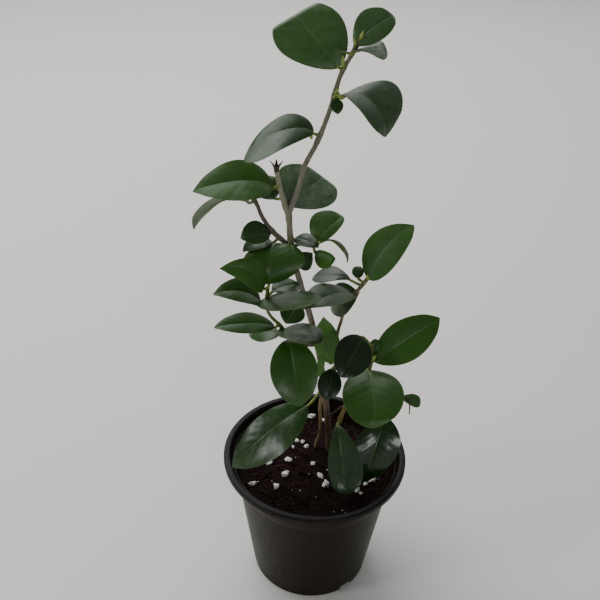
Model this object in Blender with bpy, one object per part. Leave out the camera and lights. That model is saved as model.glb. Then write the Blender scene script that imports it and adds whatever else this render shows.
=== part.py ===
"""Potted camellia: a young, leafy camellia in a plain black nursery pot.

Run with: blender --background --python part.py, or from Blender's text editor.
World units are metres with +Z up. The design sizes below are in millimetres and
degrees. The origin is the centre of the pot's underside, -Y is the plant's front.
"""

import math
import random

import bmesh
import bpy
from mathutils import Vector

MM = 0.001
GAP = 0.3

# The pot: a thin, tapered plastic pot with a wide rolled lip
POT_HEIGHT = 121.7
POT_BASE_RADIUS = 49.0
POT_NECK_RADIUS = 66.0
POT_WALL = 1.6
POT_FLOOR = 2.4
POT_SIDES = 40
LIP_RADIUS = 75.0
LIP_DEPTH = 5.4
LIP_CREST = 4.0
LIP_ROUND = 1.4
DRAIN_SLOTS = 3
DRAIN_SLOT_TURN = -50
DRAIN_SLOT_WIDTH = 12.0
DRAIN_SLOT_HEIGHT = 5.0
DRAIN_SLOT_REACH = 7.0

# The potting mix
MIX_LEVEL = 106.0
MIX_MOUND = 3.0
MIX_RELIEF = 0.7
MIX_WAVE_ACROSS = 5.3
MIX_WAVE_DEEP = 4.1
MIX_WAVE_SLANT = 2.9
MIX_RINGS = 6
STEM_DEPTH = 24.0

# Leaves and stems
BLADE_THICKNESS = 0.8
BLADE_STATIONS = 7
BLADE_COLUMNS = 4
SMALL_LEAF_WIDTH = 21
SMALL_STATIONS = 5
SMALL_COLUMNS = 2
BLADE_END_WIDTH = 1.6
BLADE_SAG = 0.12
TEETH_DEPTH = 0.03
PETIOLE_RADIUS = 1.0
PETIOLE_GRIP = 4.0
WAVE_HEIGHT = 0.02
ARCH_SKEW = 0.75
CURL_PULL = 0.8

# Each stem: the radius at its foot and its tip, then the points it runs through, in mm.
# A stem whose first name is None stands in the potting mix, others grow from a stem.
STEMS = {
    "trunk": (None, 2.7, 2.1,
              [(12, 18, 84), (12, 18, 112), (7, 16, 164), (-1, 13, 217), (-8, 11, 248),
               (-17, 9, 281), (-24, 7, 311), (-27, 6, 341)]),
    "leader": ("trunk", 2.1, 1.2,
               [(-27, 6, 340), (-21, 5, 359), (-17, 4, 378), (-10, 4, 394), (-2, 3, 419),
                (4, 2, 444), (9, 1, 455), (14, 0, 466)]),
    "stub": ("trunk", 1.9, 1.6, [(-27, 6, 338), (-33, 7, 358), (-36, 8, 372)]),
    "left_branch": ("trunk", 1.8, 1.2,
                    [(-26, 7, 314), (-38, 4, 327), (-45, 2, 339), (-50, 2, 351), (-54, 3, 356)]),
    "mid_twig": ("trunk", 1.3, 1.0, [(-24, 7, 313), (-16, 5, 317), (-9, 6, 316)]),
    "low_left": ("trunk", 1.5, 1.1,
                 [(-2, 13, 222), (-14, 8, 226), (-24, 3, 236), (-30, -1, 248),
                  (-40, -9, 268), (-40, -14, 291)]),
    "side_stem": (None, 1.5, 1.2,
                  [(1, 20, 84), (1, 20, 109), (4, 15, 130), (3, 8, 171), (8, 4, 194), (13, 5, 211),
                   (12, 7, 226), (13, 7, 241), (15, 7, 251), (17, 6, 265), (24, 4, 278),
                   (31, 2, 291)]),
    "low_stem": (None, 2.2, 1.3,
                 [(20, 8, 84), (20, 8, 112), (18, 4, 138), (19, 2, 156), (24, 1, 174),
                  (34, -3, 199), (39, -5, 222), (38, -4, 236)]),
    "low_twig": ("low_stem", 1.4, 1.0, [(23, 1, 170), (38, 0, 170), (52, 0, 172), (62, 3, 177)]),
}

# The nodes, with the stems that grow together in each
LEAFY_STEMS = {
    "main_leafy_stem": ("trunk", "leader", "stub", "left_branch", "mid_twig", "low_left"),
    "side_leafy_stem": ("side_stem",),
    "low_leafy_stem": ("low_stem", "low_twig"),
}

# Each leaf: its stem, base, tip, width, how far its face leans to the front and to the
# right of straight up, how high it arches, how far its halves fold up, how far it turns
# along its length, and how far its tip curls back. Sizes in mm, angles in degrees.
LEAVES = {
    "01": ("leader", (2, 0, 448), (-31.5, 21, 478.5), 43, 55, -10, 4, 6, 0, 9),
    "02": ("leader", (11, 0, 462), (36, 12, 479), 22, 50, 0, 4, 8, 0, 2),
    "03": ("leader", (8, -3, 458), (31, -11, 463), 22, 0, 0, 2, 8, -42, 1),
    "04": ("leader", (6.5, -2, 430), (35, -20, 412), 45, 30, 50, 10, 12, 0, 2),
    "05": ("leader", (-12, 3, 402), (-56, -14, 396), 37, 12, 10, 9, 12, 0, 2),
    "06": ("stub", (-38, 3, 361), (-91.5, -10, 363.5), 33, 32, 0, 11, 14, 0, 1),
    "07": ("left_branch", (-54, 3, 349), (-96, 9, 324.5), 28, -25, 0, 9, 14, 0, 2),
    "08": ("stub", (-27.5, 9, 345), (-0.5, 28, 361), 43, 50, 0, 4, 8, 0, 4),
    "09": ("left_branch", (-40, 3, 325), (-59, -14, 331), 17, 50, 0, 4, 8, 0, 2),
    "10": ("left_branch", (-38, 5, 317), (-58.5, -8, 317), 15, 10, 0, 4, 8, 0, 1),
    "11": ("low_left", (-39, -15, 295), (-39, 2, 320), 44, 55, 5, 10, 8, 0, 2),
    "12": ("low_left", (-43, -16, 292), (-72, -28, 315), 20, 50, 10, 6, 10, 0, 1),
    "13": ("low_left", (-45, -13, 276), (-78, -24, 291), 23, 20, 0, 6, 14, 0, 1),
    "14": ("low_left", (-47.5, -14, 277), (-2, -36, 300), 30, 0, 0, 1, 6, 0, 1),
    "15": ("low_left", (-37, -12, 286), (-16, 2, 284), 20, 5, 0, 3, 10, 0, 1),
    "16": ("side_stem", (22.5, 3, 275.5), (-15, -28, 284.5), 30, 0, 0, 6, 10, 0, 1),
    "17": ("side_stem", (19.5, 3, 289), (-9, 16, 282.5), 20, 10, 0, 4, 8, 0, 1),
    "18": ("side_stem", (25, 4, 290), (24, 13, 296), 9, 60, 0, 1, 8, 0, 1),
    "19": ("side_stem", (32, 1, 292), (62, 12, 332), 28, 56, -25, 1, 10, 0, 1),
    "20": ("side_stem", (26, 5, 277), (5.5, 20, 253), 26, 40, 0, 4, 6, 0, 1),
    "21": ("mid_twig", (-7, 5, 318), (13, 20, 333.5), 22, 45, -25, 4, 8, 0, 2),
    "22": ("trunk", (-22, 5, 320.5), (-5, -12, 325), 12, 30, 0, 3, 8, 0, 1),
    "23": ("mid_twig", (-6, 6, 316), (18.5, 12, 300), 9, -30, 0, 8, 6, 0, 2),
    "24": ("mid_twig", (-7, 3, 311), (7, -8, 313.5), 13, 50, 20, 2, 10, 0, 1),
    "25": ("trunk", (-18, 6, 297), (-9.5, -2, 314), 14, 50, 0, 2, 8, 0, 1),
    "26": ("low_left", (-35, -3, 249), (-79, -18, 258), 19.5, 20, 0, 5, 10, 0, 1),
    "27": ("low_left", (-31, 1, 240), (-56, 12, 230), 21, 20, 0, 4, 8, 0, 1),
    "28": ("trunk", (-18, 7, 264), (-27, -8, 256), 20, 40, 0, 2, 8, 0, 1),
    "29": ("low_left", (-33, -4, 244), (0, -28, 255.5), 26, 0, 0, 4, 8, 0, 1),
    "30": ("low_left", (-24, -4, 239), (-14, -38, 201), 37, 45, 0, 8, 8, 0, 2),
    "31": ("trunk", (-8, -6, 176), (-67, -26, 126), 37, 30, -10, 9, 10, 0, 1),
    "32": ("side_stem", (8, 1, 214), (1, 1, 257), 20, 80, 0, 1, 8, 0, 1),
    "33": ("side_stem", (10, 2, 208), (6.5, -14, 189), 19, 70, 0, 2, 6, 0, 1),
    "34": ("low_stem", (30, -7, 246), (15, -34, 228), 29, 70, 0, 3, 6, 0, 1),
    "35": ("low_stem", (41, -5, 222), (90, 10, 255), 32, 50, 0, 5, 10, 0, 2),
    "36": ("low_stem", (39, -4, 231), (42, 0, 240), 8, 60, 0, 1, 8, 0, 1),
    "37": ("low_stem", (36, -9, 216), (40, -60, 203), 46, 55, 0, 6, 4, 0, 4),
    "38": ("low_twig", (65, 3, 181), (83.5, 5, 174), 11, 30, 0, 1, 8, 0, 1),
    "39": ("low_stem", (17, -2, 154), (25, -42, 116), 25, 50, 0, 5, 10, 0, 2),
    "40": ("low_twig", (52, -4, 167), (35, -28, 113), 38, 60, 10, 6, 8, 0, 1),
    "41": ("leader", (8, -3, 458), (0, -8, 460.5), 5, -5, 0, 1, 6, 0, 0),
    "42": ("leader", (1, -1, 428.5), (5, -6, 420.5), 8, 40, 20, 1, 6, 0, 0),
    "43": ("stub", (-36.5, 9, 350), (-47.5, 20, 361), 19, 50, 0, 2, 8, 0, 1),
    "44": ("side_stem", (2, 1, 224.5), (0, -6, 205.5), 6, 60, 0, 1, 6, 0, 0),
}

# How some leaves differ from the usual outline: where along its length the blade is
# widest, how full its ends are (less is blunter), how far its midrib bows sideways in mm,
# how much wider that side is, and how far that side slips towards the tip
LEAF_FORMS = {
    "01": (0.56, 0.5, 0, -0.02, -0.18),
    "02": (0.5, 0.66, -1, -0.12, 0),
    "03": (0.8, 0.5, 0, 0, 0.3),
    "04": (0.5, 0.66, -2, -0.25, 0.05),
    "05": (0.56, 0.52, 0, -0.28, -0.72),
    "06": (0.42, 0.72, 0, -0.05, 0),
    "08": (0.52, 0.58, 0, -0.1, 0.24),
    "09": (0.45, 0.66, 0, 0.2, 0),
    "11": (0.5, 0.5, 0, 0.1, 0.12),
    "12": (0.38, 0.7, 6, 0, 0),
    "13": (0.42, 0.7, 3, 0, 0),
    "14": (0.5, 0.5, 0, 0.15, 0.45),
    "17": (0.6, 0.66, 0, 0, 0),
    "19": (0.44, 0.62, -5, 0, 0),
    "21": (0.45, 0.66, 0, -0.4, 0),
    "24": (0.5, 0.5, 0, 0.6, 0.3),
    "27": (0.47, 0.66, 0, 0, 0.5),
    "29": (0.55, 0.5, 0, -0.12, 0),
    "30": (0.47, 0.6, 0, 0, 0),
    "31": (0.43, 0.7, 0, -0.18, 0),
    "33": (0.5, 0.6, 0, 0, 0),
    "34": (0.45, 0.6, 0, 0, 0),
    "37": (0.5, 0.49, -2, 0, 0),
    "38": (0.65, 0.5, 0, 0, 0),
    "39": (0.58, 0.52, 0, -0.15, 0),
    "40": (0.47, 0.66, -2, 0, 0.35),
}
USUAL_FORM = (0.47, 0.72, 0, 0, 0)

# White perlite granules on the mix: across, towards the back and size, in mm
PERLITE = [
    (-3, 60, 6), (-15, 27, 4), (-10, 26, 4), (-7, 20, 4), (-18, 18, 3), (-38, -1, 5),
    (-22, 2, 5), (-24, -14, 6), (-50, -25, 5), (-30, -28, 5), (-1, -1, 4), (5, -15, 5),
    (10, -25, 6), (47, -16, 8), (42, -22, 4), (35, -29, 5), (38, -32, 3),
]
PERLITE_SPARE = 9
PERLITE_SEED = 7
PERLITE_SPREAD = 58
PERLITE_SPACING = 9
PERLITE_STEM_ROOM = 7


def linear(hex_colour):
    """Turn an sRGB hex colour into the linear values that Blender shades with."""
    channels = [int(hex_colour[i:i + 2], 16) / 255 for i in (1, 3, 5)]
    return [c / 12.92 if c <= 0.04045 else ((c + 0.055) / 1.055) ** 2.4 for c in channels]


def make_material(name, hex_colour, roughness):
    material = bpy.data.materials.new(name)
    material.use_nodes = True
    shader = material.node_tree.nodes["Principled BSDF"]
    shader.inputs["Base Color"].default_value = linear(hex_colour) + [1]
    shader.inputs["Roughness"].default_value = roughness
    shader.inputs["Metallic"].default_value = 0
    return material


def add_object(name, mesh, material=None):
    obj = bpy.data.objects.new(name, mesh)
    bpy.context.scene.collection.objects.link(obj)
    if material:
        mesh.materials.clear()
        mesh.materials.append(material)
    return obj


def evaluated_mesh(obj):
    """Give the object's mesh with its curve and modifiers worked out."""
    bpy.context.view_layer.update()
    return bpy.data.meshes.new_from_object(obj.evaluated_get(bpy.context.evaluated_depsgraph_get()))


def bake(obj):
    """Replace a curve or a modified mesh by its own plain mesh."""
    baked = add_object(obj.name, evaluated_mesh(obj))
    name = obj.name
    bpy.data.objects.remove(obj)
    baked.name = name
    return baked


def turned_mesh(name, profile, sides):
    """Turn a closed outline of (radius, height) points about the Z axis."""
    mesh = bpy.data.meshes.new(name)
    bm = bmesh.new()
    verts = [bm.verts.new((r * MM, 0, z * MM)) for r, z in profile]
    edges = [bm.edges.new((a, b)) for a, b in zip(verts, verts[1:])]
    bmesh.ops.spin(bm, geom=verts + edges, cent=(0, 0, 0), axis=(0, 0, 1),
                   angle=math.tau, steps=sides, use_merge=True)
    bmesh.ops.remove_doubles(bm, verts=bm.verts, dist=0.001 * MM)
    bmesh.ops.recalc_face_normals(bm, faces=bm.faces)
    bm.to_mesh(mesh)
    bm.free()
    return mesh


def wall_radius(height):
    """The pot's outer radius at a height below the lip."""
    part = height / (POT_HEIGHT - LIP_DEPTH)
    return POT_BASE_RADIUS + (POT_NECK_RADIUS - POT_BASE_RADIUS) * part


def build_pot(material):
    lip_foot = POT_HEIGHT - LIP_DEPTH
    crest = LIP_RADIUS - LIP_CREST
    throat = POT_HEIGHT - 2 * LIP_DEPTH
    profile = [
        (0, 0),
        (POT_BASE_RADIUS - 1, 0),
        (POT_BASE_RADIUS, 1),
        (POT_NECK_RADIUS, lip_foot),
        (LIP_RADIUS - 1, lip_foot),
        (LIP_RADIUS, lip_foot + LIP_ROUND),
        (LIP_RADIUS, POT_HEIGHT - LIP_ROUND),
        (LIP_RADIUS - LIP_ROUND, POT_HEIGHT),
        (crest, POT_HEIGHT),
        (crest - LIP_ROUND, POT_HEIGHT - LIP_ROUND),
        (wall_radius(throat) - POT_WALL, throat),
        (wall_radius(POT_FLOOR) - POT_WALL, POT_FLOOR),
        (0, POT_FLOOR),
    ]
    pot = add_object("pot", turned_mesh("pot", profile, POT_SIDES), material)
    for slot in range(DRAIN_SLOTS):
        angle = math.radians(DRAIN_SLOT_TURN) + math.tau * slot / DRAIN_SLOTS
        mesh = bpy.data.meshes.new("drain_slot_cutter")
        bm = bmesh.new()
        bmesh.ops.create_cube(bm, size=MM)
        bmesh.ops.scale(bm, vec=(2 * DRAIN_SLOT_REACH, DRAIN_SLOT_WIDTH, 2 * DRAIN_SLOT_HEIGHT),
                        verts=bm.verts)
        bm.to_mesh(mesh)
        bm.free()
        cutter = add_object(f"drain_slot_cutter_{slot + 1}", mesh)
        cutter.location = (POT_BASE_RADIUS * MM * math.cos(angle),
                           POT_BASE_RADIUS * MM * math.sin(angle), 0)
        cutter.rotation_euler.z = angle
        cutter.hide_render = True
        cutter.display_type = "WIRE"
        cut = pot.modifiers.new(f"Drain slot {slot + 1}", "BOOLEAN")
        cut.operation = "DIFFERENCE"
        cut.object = cutter
        cut.solver = "EXACT"
    return pot


def mix_height(x, y):
    """The height of the potting mix's uneven surface at a place in the pot."""
    radius = math.hypot(x, y) / (POT_NECK_RADIUS - POT_WALL)
    mound = MIX_MOUND * max(0, 1 - radius ** 2)
    waves = math.sin(x / MIX_WAVE_ACROSS) * math.cos(y / MIX_WAVE_DEEP)
    waves += math.sin((x + y) / MIX_WAVE_SLANT)
    return MIX_LEVEL + mound + MIX_RELIEF * waves * max(0, 1 - radius ** 4)


def build_mix(material):
    top_radius = wall_radius(MIX_LEVEL) - POT_WALL - GAP
    floor = POT_FLOOR + GAP
    profile = [(0, floor), (wall_radius(floor) - POT_WALL - GAP, floor)]
    profile += [(top_radius * (MIX_RINGS - i) / MIX_RINGS, MIX_LEVEL) for i in range(MIX_RINGS + 1)]
    mesh = turned_mesh("potting_mix", profile, POT_SIDES)
    for vertex in mesh.vertices:
        if vertex.co.z > (MIX_LEVEL - 1) * MM:
            vertex.co.z = mix_height(vertex.co.x / MM, vertex.co.y / MM) * MM
    bm = bmesh.new()
    bm.from_mesh(mesh)
    bmesh.ops.triangulate(bm, faces=bm.faces)
    bm.to_mesh(mesh)
    bm.free()
    mix = add_object("potting_mix", mesh, material)
    join(mix, perlite_granules())
    for name, (parent, radius, _, points) in STEMS.items():
        if parent is None:
            x, y, _ = points[0]
            drill(mix, (x, y), radius + 2 * GAP, name)
    return mix


def perlite_granules():
    """The granules whose places are set, and a few more at random round the back."""
    draw = random.Random(PERLITE_SEED)
    granules = list(PERLITE)
    while len(granules) < len(PERLITE) + PERLITE_SPARE:
        x = draw.uniform(-PERLITE_SPREAD, PERLITE_SPREAD)
        y = draw.uniform(0, PERLITE_SPREAD)
        if math.hypot(x, y) > PERLITE_SPREAD:
            continue
        if min(math.dist((x, y), granule[:2]) for granule in granules) > PERLITE_SPACING:
            granules.append((x, y, draw.choice((2, 3, 4))))
    stems = [points[0] for parent, _, _, points in STEMS.values() if parent is None]
    objects = []
    for number, (x, y, size) in enumerate(granules):
        if min(math.dist((x, y), stem[:2]) for stem in stems) < PERLITE_STEM_ROOM:
            continue
        mesh = bpy.data.meshes.new("perlite")
        bm = bmesh.new()
        bmesh.ops.create_icosphere(bm, subdivisions=1, radius=size / 2 * MM)
        bm.to_mesh(mesh)
        bm.free()
        granule = add_object(f"perlite_{number + 1}", mesh)
        granule.location = (x * MM, y * MM, (mix_height(x, y) + size / 5) * MM)
        granule.rotation_euler = (number, 2 * number, 3 * number)
        objects.append(granule)
    return objects


def drill(mix, place, radius, name):
    """Cut the plain hole in the mix that a stem stands in."""
    mesh = bpy.data.meshes.new("stem_hole_cutter")
    bm = bmesh.new()
    bmesh.ops.create_cone(bm, cap_ends=True, segments=16, radius1=radius * MM,
                          radius2=radius * MM, depth=2 * STEM_DEPTH * MM)
    bm.to_mesh(mesh)
    bm.free()
    cutter = add_object(f"{name}_hole_cutter", mesh)
    foot = STEMS[name][3][0][2]
    cutter.location = (place[0] * MM, place[1] * MM, (foot - GAP + STEM_DEPTH) * MM)
    cutter.hide_render = True
    cutter.display_type = "WIRE"
    cut = mix.modifiers.new(f"{name} hole", "BOOLEAN")
    cut.operation = "DIFFERENCE"
    cut.object = cutter
    cut.solver = "EXACT"


def join(target, others):
    """Fuse the other objects into the target with one Boolean union, then remove them."""
    collection = bpy.data.collections.new("to_join")
    for other in others:
        collection.objects.link(other)
    union = target.modifiers.new("Union", "BOOLEAN")
    union.operation = "UNION"
    union.operand_type = "COLLECTION"
    union.collection = collection
    union.solver = "MANIFOLD"
    materials = list(target.data.materials)
    mesh = evaluated_mesh(target)
    keep_largest_body(mesh)
    target.modifiers.clear()
    target.data = mesh
    mesh.materials.clear()
    for material in materials:
        mesh.materials.append(material)
    for polygon in mesh.polygons:
        polygon.material_index = 0
    for other in others:
        bpy.data.objects.remove(other)
    bpy.data.collections.remove(collection)


def keep_largest_body(mesh):
    """Fill the hollows that fusing sealed and drop any loose scrap."""
    bm = bmesh.new()
    bm.from_mesh(mesh)
    waiting = set(bm.faces)
    bodies = []
    while waiting:
        body = {waiting.pop()}
        front = list(body)
        while front:
            for edge in front.pop().edges:
                for face in edge.link_faces:
                    if face in waiting:
                        waiting.remove(face)
                        body.add(face)
                        front.append(face)
        bodies.append(body)
    largest = max(bodies, key=len)
    for body in bodies:
        if body is not largest:
            bmesh.ops.delete(bm, geom=list(body), context="FACES")
    bm.to_mesh(mesh)
    bm.free()


def tube(name, points, start_radius, end_radius, sides_level, steps):
    """A smooth round shoot through the points, tapering from its foot to its tip."""
    curve = bpy.data.curves.new(name, "CURVE")
    curve.dimensions = "3D"
    curve.bevel_depth = MM
    curve.bevel_resolution = sides_level
    curve.use_fill_caps = True
    curve.resolution_u = steps
    spline = curve.splines.new("BEZIER")
    spline.bezier_points.add(len(points) - 1)
    for number, (knot, point) in enumerate(zip(spline.bezier_points, points)):
        knot.co = Vector(point) * MM
        knot.handle_left_type = "AUTO"
        knot.handle_right_type = "AUTO"
        part = number / (len(points) - 1)
        knot.radius = start_radius + (end_radius - start_radius) * part
    obj = bake(add_object(name, curve))
    bm = bmesh.new()
    bm.from_mesh(obj.data)
    bmesh.ops.remove_doubles(bm, verts=bm.verts, dist=0.001 * MM)
    bmesh.ops.recalc_face_normals(bm, faces=bm.faces)
    bm.to_mesh(obj.data)
    bm.free()
    return obj


def nearest_on_stem(stem, point):
    """The place on a stem's centre line that lies nearest to a point."""
    points = [Vector(p) for p in STEMS[stem][3]]
    target = Vector(point)
    best = points[0]
    for start, end in zip(points, points[1:]):
        step = end - start
        part = max(0, min(1, (target - start).dot(step) / step.length_squared))
        place = start + step * part
        if (place - target).length < (best - target).length:
            best = place
    return best


def leaf_outline(part, widest, fullness):
    """Half the width of a camellia leaf, from 0 at its base to 0 at its short point."""
    rounded = max(0, math.sin(math.pi * part ** (math.log(0.5) / math.log(widest)))) ** fullness
    pointed = 1 - max(0, part - 0.86) * 1.6
    return rounded * pointed


class Leaf:
    """The middle surface of one leaf, as a formula of the way along and across it."""

    def __init__(self, name):
        stem, base, tip, width, front, right, arch, fold, turn, curl = LEAVES[name]
        self.name = name
        self.stem = stem
        self.base = Vector(base)
        self.tip = Vector(tip)
        self.half = width / 2
        self.arch = arch
        self.fold = math.radians(fold)
        self.turn = math.radians(turn)
        self.curl = curl
        form = LEAF_FORMS.get(name, USUAL_FORM)
        self.widest, self.fullness, self.sweep, self.skew, self.slip = form
        self.axis = (self.tip - self.base).normalized()
        lean = math.radians(front)
        sway = math.radians(right)
        up = Vector((math.cos(lean) * math.sin(sway), -math.sin(lean),
                     math.cos(lean) * math.cos(sway)))
        self.up = (up - self.axis * up.dot(self.axis)).normalized()
        self.side = self.axis.cross(self.up)

    def place(self, part, across):
        """A point of the leaf: part runs from base to tip, across from -1 to 1."""
        bend = self.turn * (part - 0.5)
        side = self.side * math.cos(bend) + self.up * math.sin(bend)
        up = self.up * math.cos(bend) - self.side * math.sin(bend)
        crest = part ** ARCH_SKEW
        curled = self.curl * max(0, part * 5 - 4) ** 2
        rise = self.arch * 4 * crest * (1 - crest) - curled
        bow = self.sweep * 4 * part * (1 - part)
        middle = self.base.lerp(self.tip, part) + self.up * rise + self.side * bow
        half = self.half * leaf_outline(part, self.widest, self.fullness)
        half = max(half, BLADE_END_WIDTH / 2) * (1 + self.skew * across)
        middle += self.axis * (self.slip * half * across - CURL_PULL * curled)
        lift = abs(across) * math.sin(self.fold) - across ** 2 * BLADE_SAG
        wave = WAVE_HEIGHT * self.half * across ** 2 * math.sin(11 * part + 2 * across)
        return middle + side * half * across * math.cos(self.fold) + up * (half * lift + wave)


def build_blade(leaf):
    """A thin closed blade whose toothed edge zigzags a little from station to station."""
    mesh = bpy.data.meshes.new("leaf_" + leaf.name)
    bm = bmesh.new()
    small = 2 * leaf.half < SMALL_LEAF_WIDTH
    stations = SMALL_STATIONS if small else BLADE_STATIONS
    columns = SMALL_COLUMNS if small else BLADE_COLUMNS
    bmesh.ops.create_grid(bm, x_segments=stations, y_segments=columns, size=0.5)
    for vertex in bm.verts:
        part = vertex.co.x + 0.5
        across = 2 * vertex.co.y
        station = round(part * stations)
        if abs(across) > 0.99 and station % 2:
            across *= 1 - TEETH_DEPTH
        vertex.co = leaf.place(part, across) * MM
    bmesh.ops.triangulate(bm, faces=bm.faces, quad_method="FIXED")
    bm.to_mesh(mesh)
    bm.free()
    blade = add_object("leaf_" + leaf.name, mesh)
    thick = blade.modifiers.new("Blade thickness", "SOLIDIFY")
    thick.thickness = BLADE_THICKNESS * MM
    thick.offset = 0
    return bake(blade)


def build_petiole(leaf):
    """The short stalk that runs from the stem's heart into the blade."""
    root = nearest_on_stem(leaf.stem, leaf.base)
    reach = PETIOLE_GRIP / (leaf.tip - leaf.base).length
    points = [root, leaf.base, leaf.place(reach, 0)]
    if (leaf.base - root).length < 1:
        points = [root, leaf.place(reach, 0)]
    return tube("petiole_" + leaf.name, points, PETIOLE_RADIUS * 1.2, PETIOLE_RADIUS * 0.9, 0, 1)


def build_husk():
    """The dry, open bud scales that top the cut stub."""
    top = Vector(STEMS["stub"][3][-1])
    scales = []
    for number in range(5):
        angle = math.tau * number / 5 + 0.4
        out = Vector((math.cos(angle), math.sin(angle), 0))
        points = [top - Vector((0, 0, 2)), top + out * 2 + Vector((0, 0, 1)),
                  top + out * 3.2 + Vector((0, 0, 6))]
        scales.append(tube(f"husk_scale_{number + 1}", points, 1.5, 0.5, 0, 1))
    return scales


def build_leafy_stem(name, stem_names, material):
    pieces = []
    for stem in stem_names:
        _, foot, tip, points = STEMS[stem]
        pieces.append(tube(stem, points, foot, tip, 1, 2))
    for leaf_name, row in LEAVES.items():
        if row[0] in stem_names:
            leaf = Leaf(leaf_name)
            pieces.append(build_blade(leaf))
            pieces.append(build_petiole(leaf))
    if "stub" in stem_names:
        pieces += build_husk()
    whole = pieces[0]
    whole.name = name
    whole.data.materials.clear()
    whole.data.materials.append(material)
    join(whole, pieces[1:])
    whole.data.name = name
    return whole


def shade(obj):
    obj.data.shade_smooth()
    obj.data.set_sharp_from_angle(angle=math.radians(35))


def main():
    for obj in list(bpy.data.objects):
        bpy.data.objects.remove(obj)
    plant = bpy.data.objects.new("potted_camellia", None)
    bpy.context.scene.collection.objects.link(plant)
    plastic = make_material("black_plastic", "#1A1712", 0.4)
    mix = make_material("potting_mix", "#2A1614", 0.95)
    foliage = make_material("camellia_leaf", "#26401F", 0.3)
    nodes = [build_pot(plastic), build_mix(mix)]
    for name, stem_names in LEAFY_STEMS.items():
        nodes.append(build_leafy_stem(name, stem_names, foliage))
    for node in nodes:
        node.parent = plant
        shade(node)


main()
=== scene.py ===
"""The looks of the potted camellia: a young camellia in a black nursery pot.

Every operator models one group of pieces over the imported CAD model, which is loaded
below as a fixed frame. Blender works in metres; the plant's own sizes are written in
millimetres, as in the part's source, and turned with MM.
"""

import math
import random

import bmesh
import bpy
from bpy.props import FloatProperty, FloatVectorProperty, IntProperty, PointerProperty
from mathutils import Matrix, Vector, noise


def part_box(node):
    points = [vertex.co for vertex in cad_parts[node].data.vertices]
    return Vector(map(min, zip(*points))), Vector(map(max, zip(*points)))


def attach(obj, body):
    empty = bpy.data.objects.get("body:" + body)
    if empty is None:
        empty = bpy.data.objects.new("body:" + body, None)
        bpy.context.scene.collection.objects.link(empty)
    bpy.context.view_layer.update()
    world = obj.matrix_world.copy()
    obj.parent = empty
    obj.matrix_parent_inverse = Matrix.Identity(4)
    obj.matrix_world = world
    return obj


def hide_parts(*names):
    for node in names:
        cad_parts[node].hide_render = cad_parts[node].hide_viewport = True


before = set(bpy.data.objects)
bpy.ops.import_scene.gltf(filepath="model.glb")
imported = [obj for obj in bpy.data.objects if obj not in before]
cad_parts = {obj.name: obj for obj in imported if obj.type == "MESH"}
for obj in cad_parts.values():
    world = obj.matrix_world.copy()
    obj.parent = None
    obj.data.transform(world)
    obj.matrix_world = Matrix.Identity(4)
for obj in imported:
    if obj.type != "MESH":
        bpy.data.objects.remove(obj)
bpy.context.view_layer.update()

bl_info = {
    "name": "Potted camellia",
    "version": (1, 0, 0),
    "blender": (4, 5, 0),
    "location": "3D View > Sidebar > Camellia",
    "description": "Models a young camellia in a black nursery pot",
    "category": "Object",
}

MM = 0.001
POT_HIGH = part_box("pot")[1]

# The pot's outline, in mm
POT_BASE_RADIUS = 49.0
POT_NECK_RADIUS = 66.0
POT_WALL = 1.6
POT_FLOOR = 2.4
STAND_WIDTH = 5
STAND_HEIGHT = 1.0
WALL_RINGS = (12, 30, 55, 80, 96)
INNER_RINGS = (96, 60, 20)
BAND_FOOT = 100
BAND_TOP = 103
BAND_DEPTH = 0.35
EDGE_ROUND = 1.0
CORNER_STEPS = 4
LIP_DEPTH = 5.4
LIP_CREST = 4.0
LIP_ROUND = 1.4
LIP_FLARE = 0.6
LIP_FLARE_DEPTH = 1.2
DRAIN_SLOTS = 3
DRAIN_SLOT_TURN = -50
DRAIN_SLOT_WIDTH = 12.0
DRAIN_SLOT_HEIGHT = 5.0
DRAIN_SLOT_REACH = 7.0
DRAIN_SLOT_ROUND = 1.5

# The potting mix, with its waves as in the part's source, and what lies on it, in mm
MIX_LEVEL = 106.0
MIX_MOUND = 3.0
MIX_RELIEF = 0.7
MIX_WAVE_ACROSS = 5.3
MIX_WAVE_DEEP = 4.1
MIX_WAVE_SLANT = 2.9
MIX_GAP = 0.3
MIX_LUMP_SIZE = 3.2
MIX_LUMP_HEIGHT = 0.9
CRUMB_SMALLEST = 0.7
CRUMB_RANGE = 2.6
CRUMB_MARGIN = 2
FIBRE_REACH = 56
FIBRE_LENGTHS = (4, 13)
FIBRE_RADIUS = 0.16
FIBRE_RINGS = 7
FIBRE_SIDES = 3
FIBRE_BEND = 0.45

# The master blade: stations run from base to tip, columns across
BLADE_STATIONS = 30
BLADE_COLUMNS = (0.0, 0.08, 0.34, 0.67, 1.0)
BLADE_END = 0.03
BLADE_SAG = 0.12
POINT_START = 0.86
POINT_TAPER = 1.6
TEETH_DEPTH = 0.022
GROOVE_DEPTH = 0.15
WAVE_HEIGHT = 0.02
WAVE_ALONG = 11
WAVE_ACROSS = 2
ARCH_SKEW = 0.75
CURL_PULL = 0.8
VEIN_PAIRS = 8
VEIN_SLANT = 0.26
VEIN_PUFF = 0.012

# The stalk and the midrib below the blade: the midrib's stations, how far under the
# blade it runs in mm, and how many stalk radii each is at its foot and at its tip
MIDRIB_STATIONS = (0.04, 0.25, 0.5, 0.75)
MIDRIB_DROP = -0.55
STALK_TAPER = (1.2, 0.85)
MIDRIB_TAPER = (0.75, 0.15)

# The bark: how far a swelling and the greener bark round it reach, how green that is,
# the size of the lines and pores, and a distance that stands for no leaf near, in mm
NODE_REACH = 3.2
GREEN_REACH = 4
GREEN_SHARE = 0.45
GREEN_BARK = "#6B7A35"
LINE_WIDTH = 0.8
LINE_LENGTH = 5
PORE_WIDTH = 1.1
PORE_HEIGHT = 0.9
NO_NODE = 99

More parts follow.
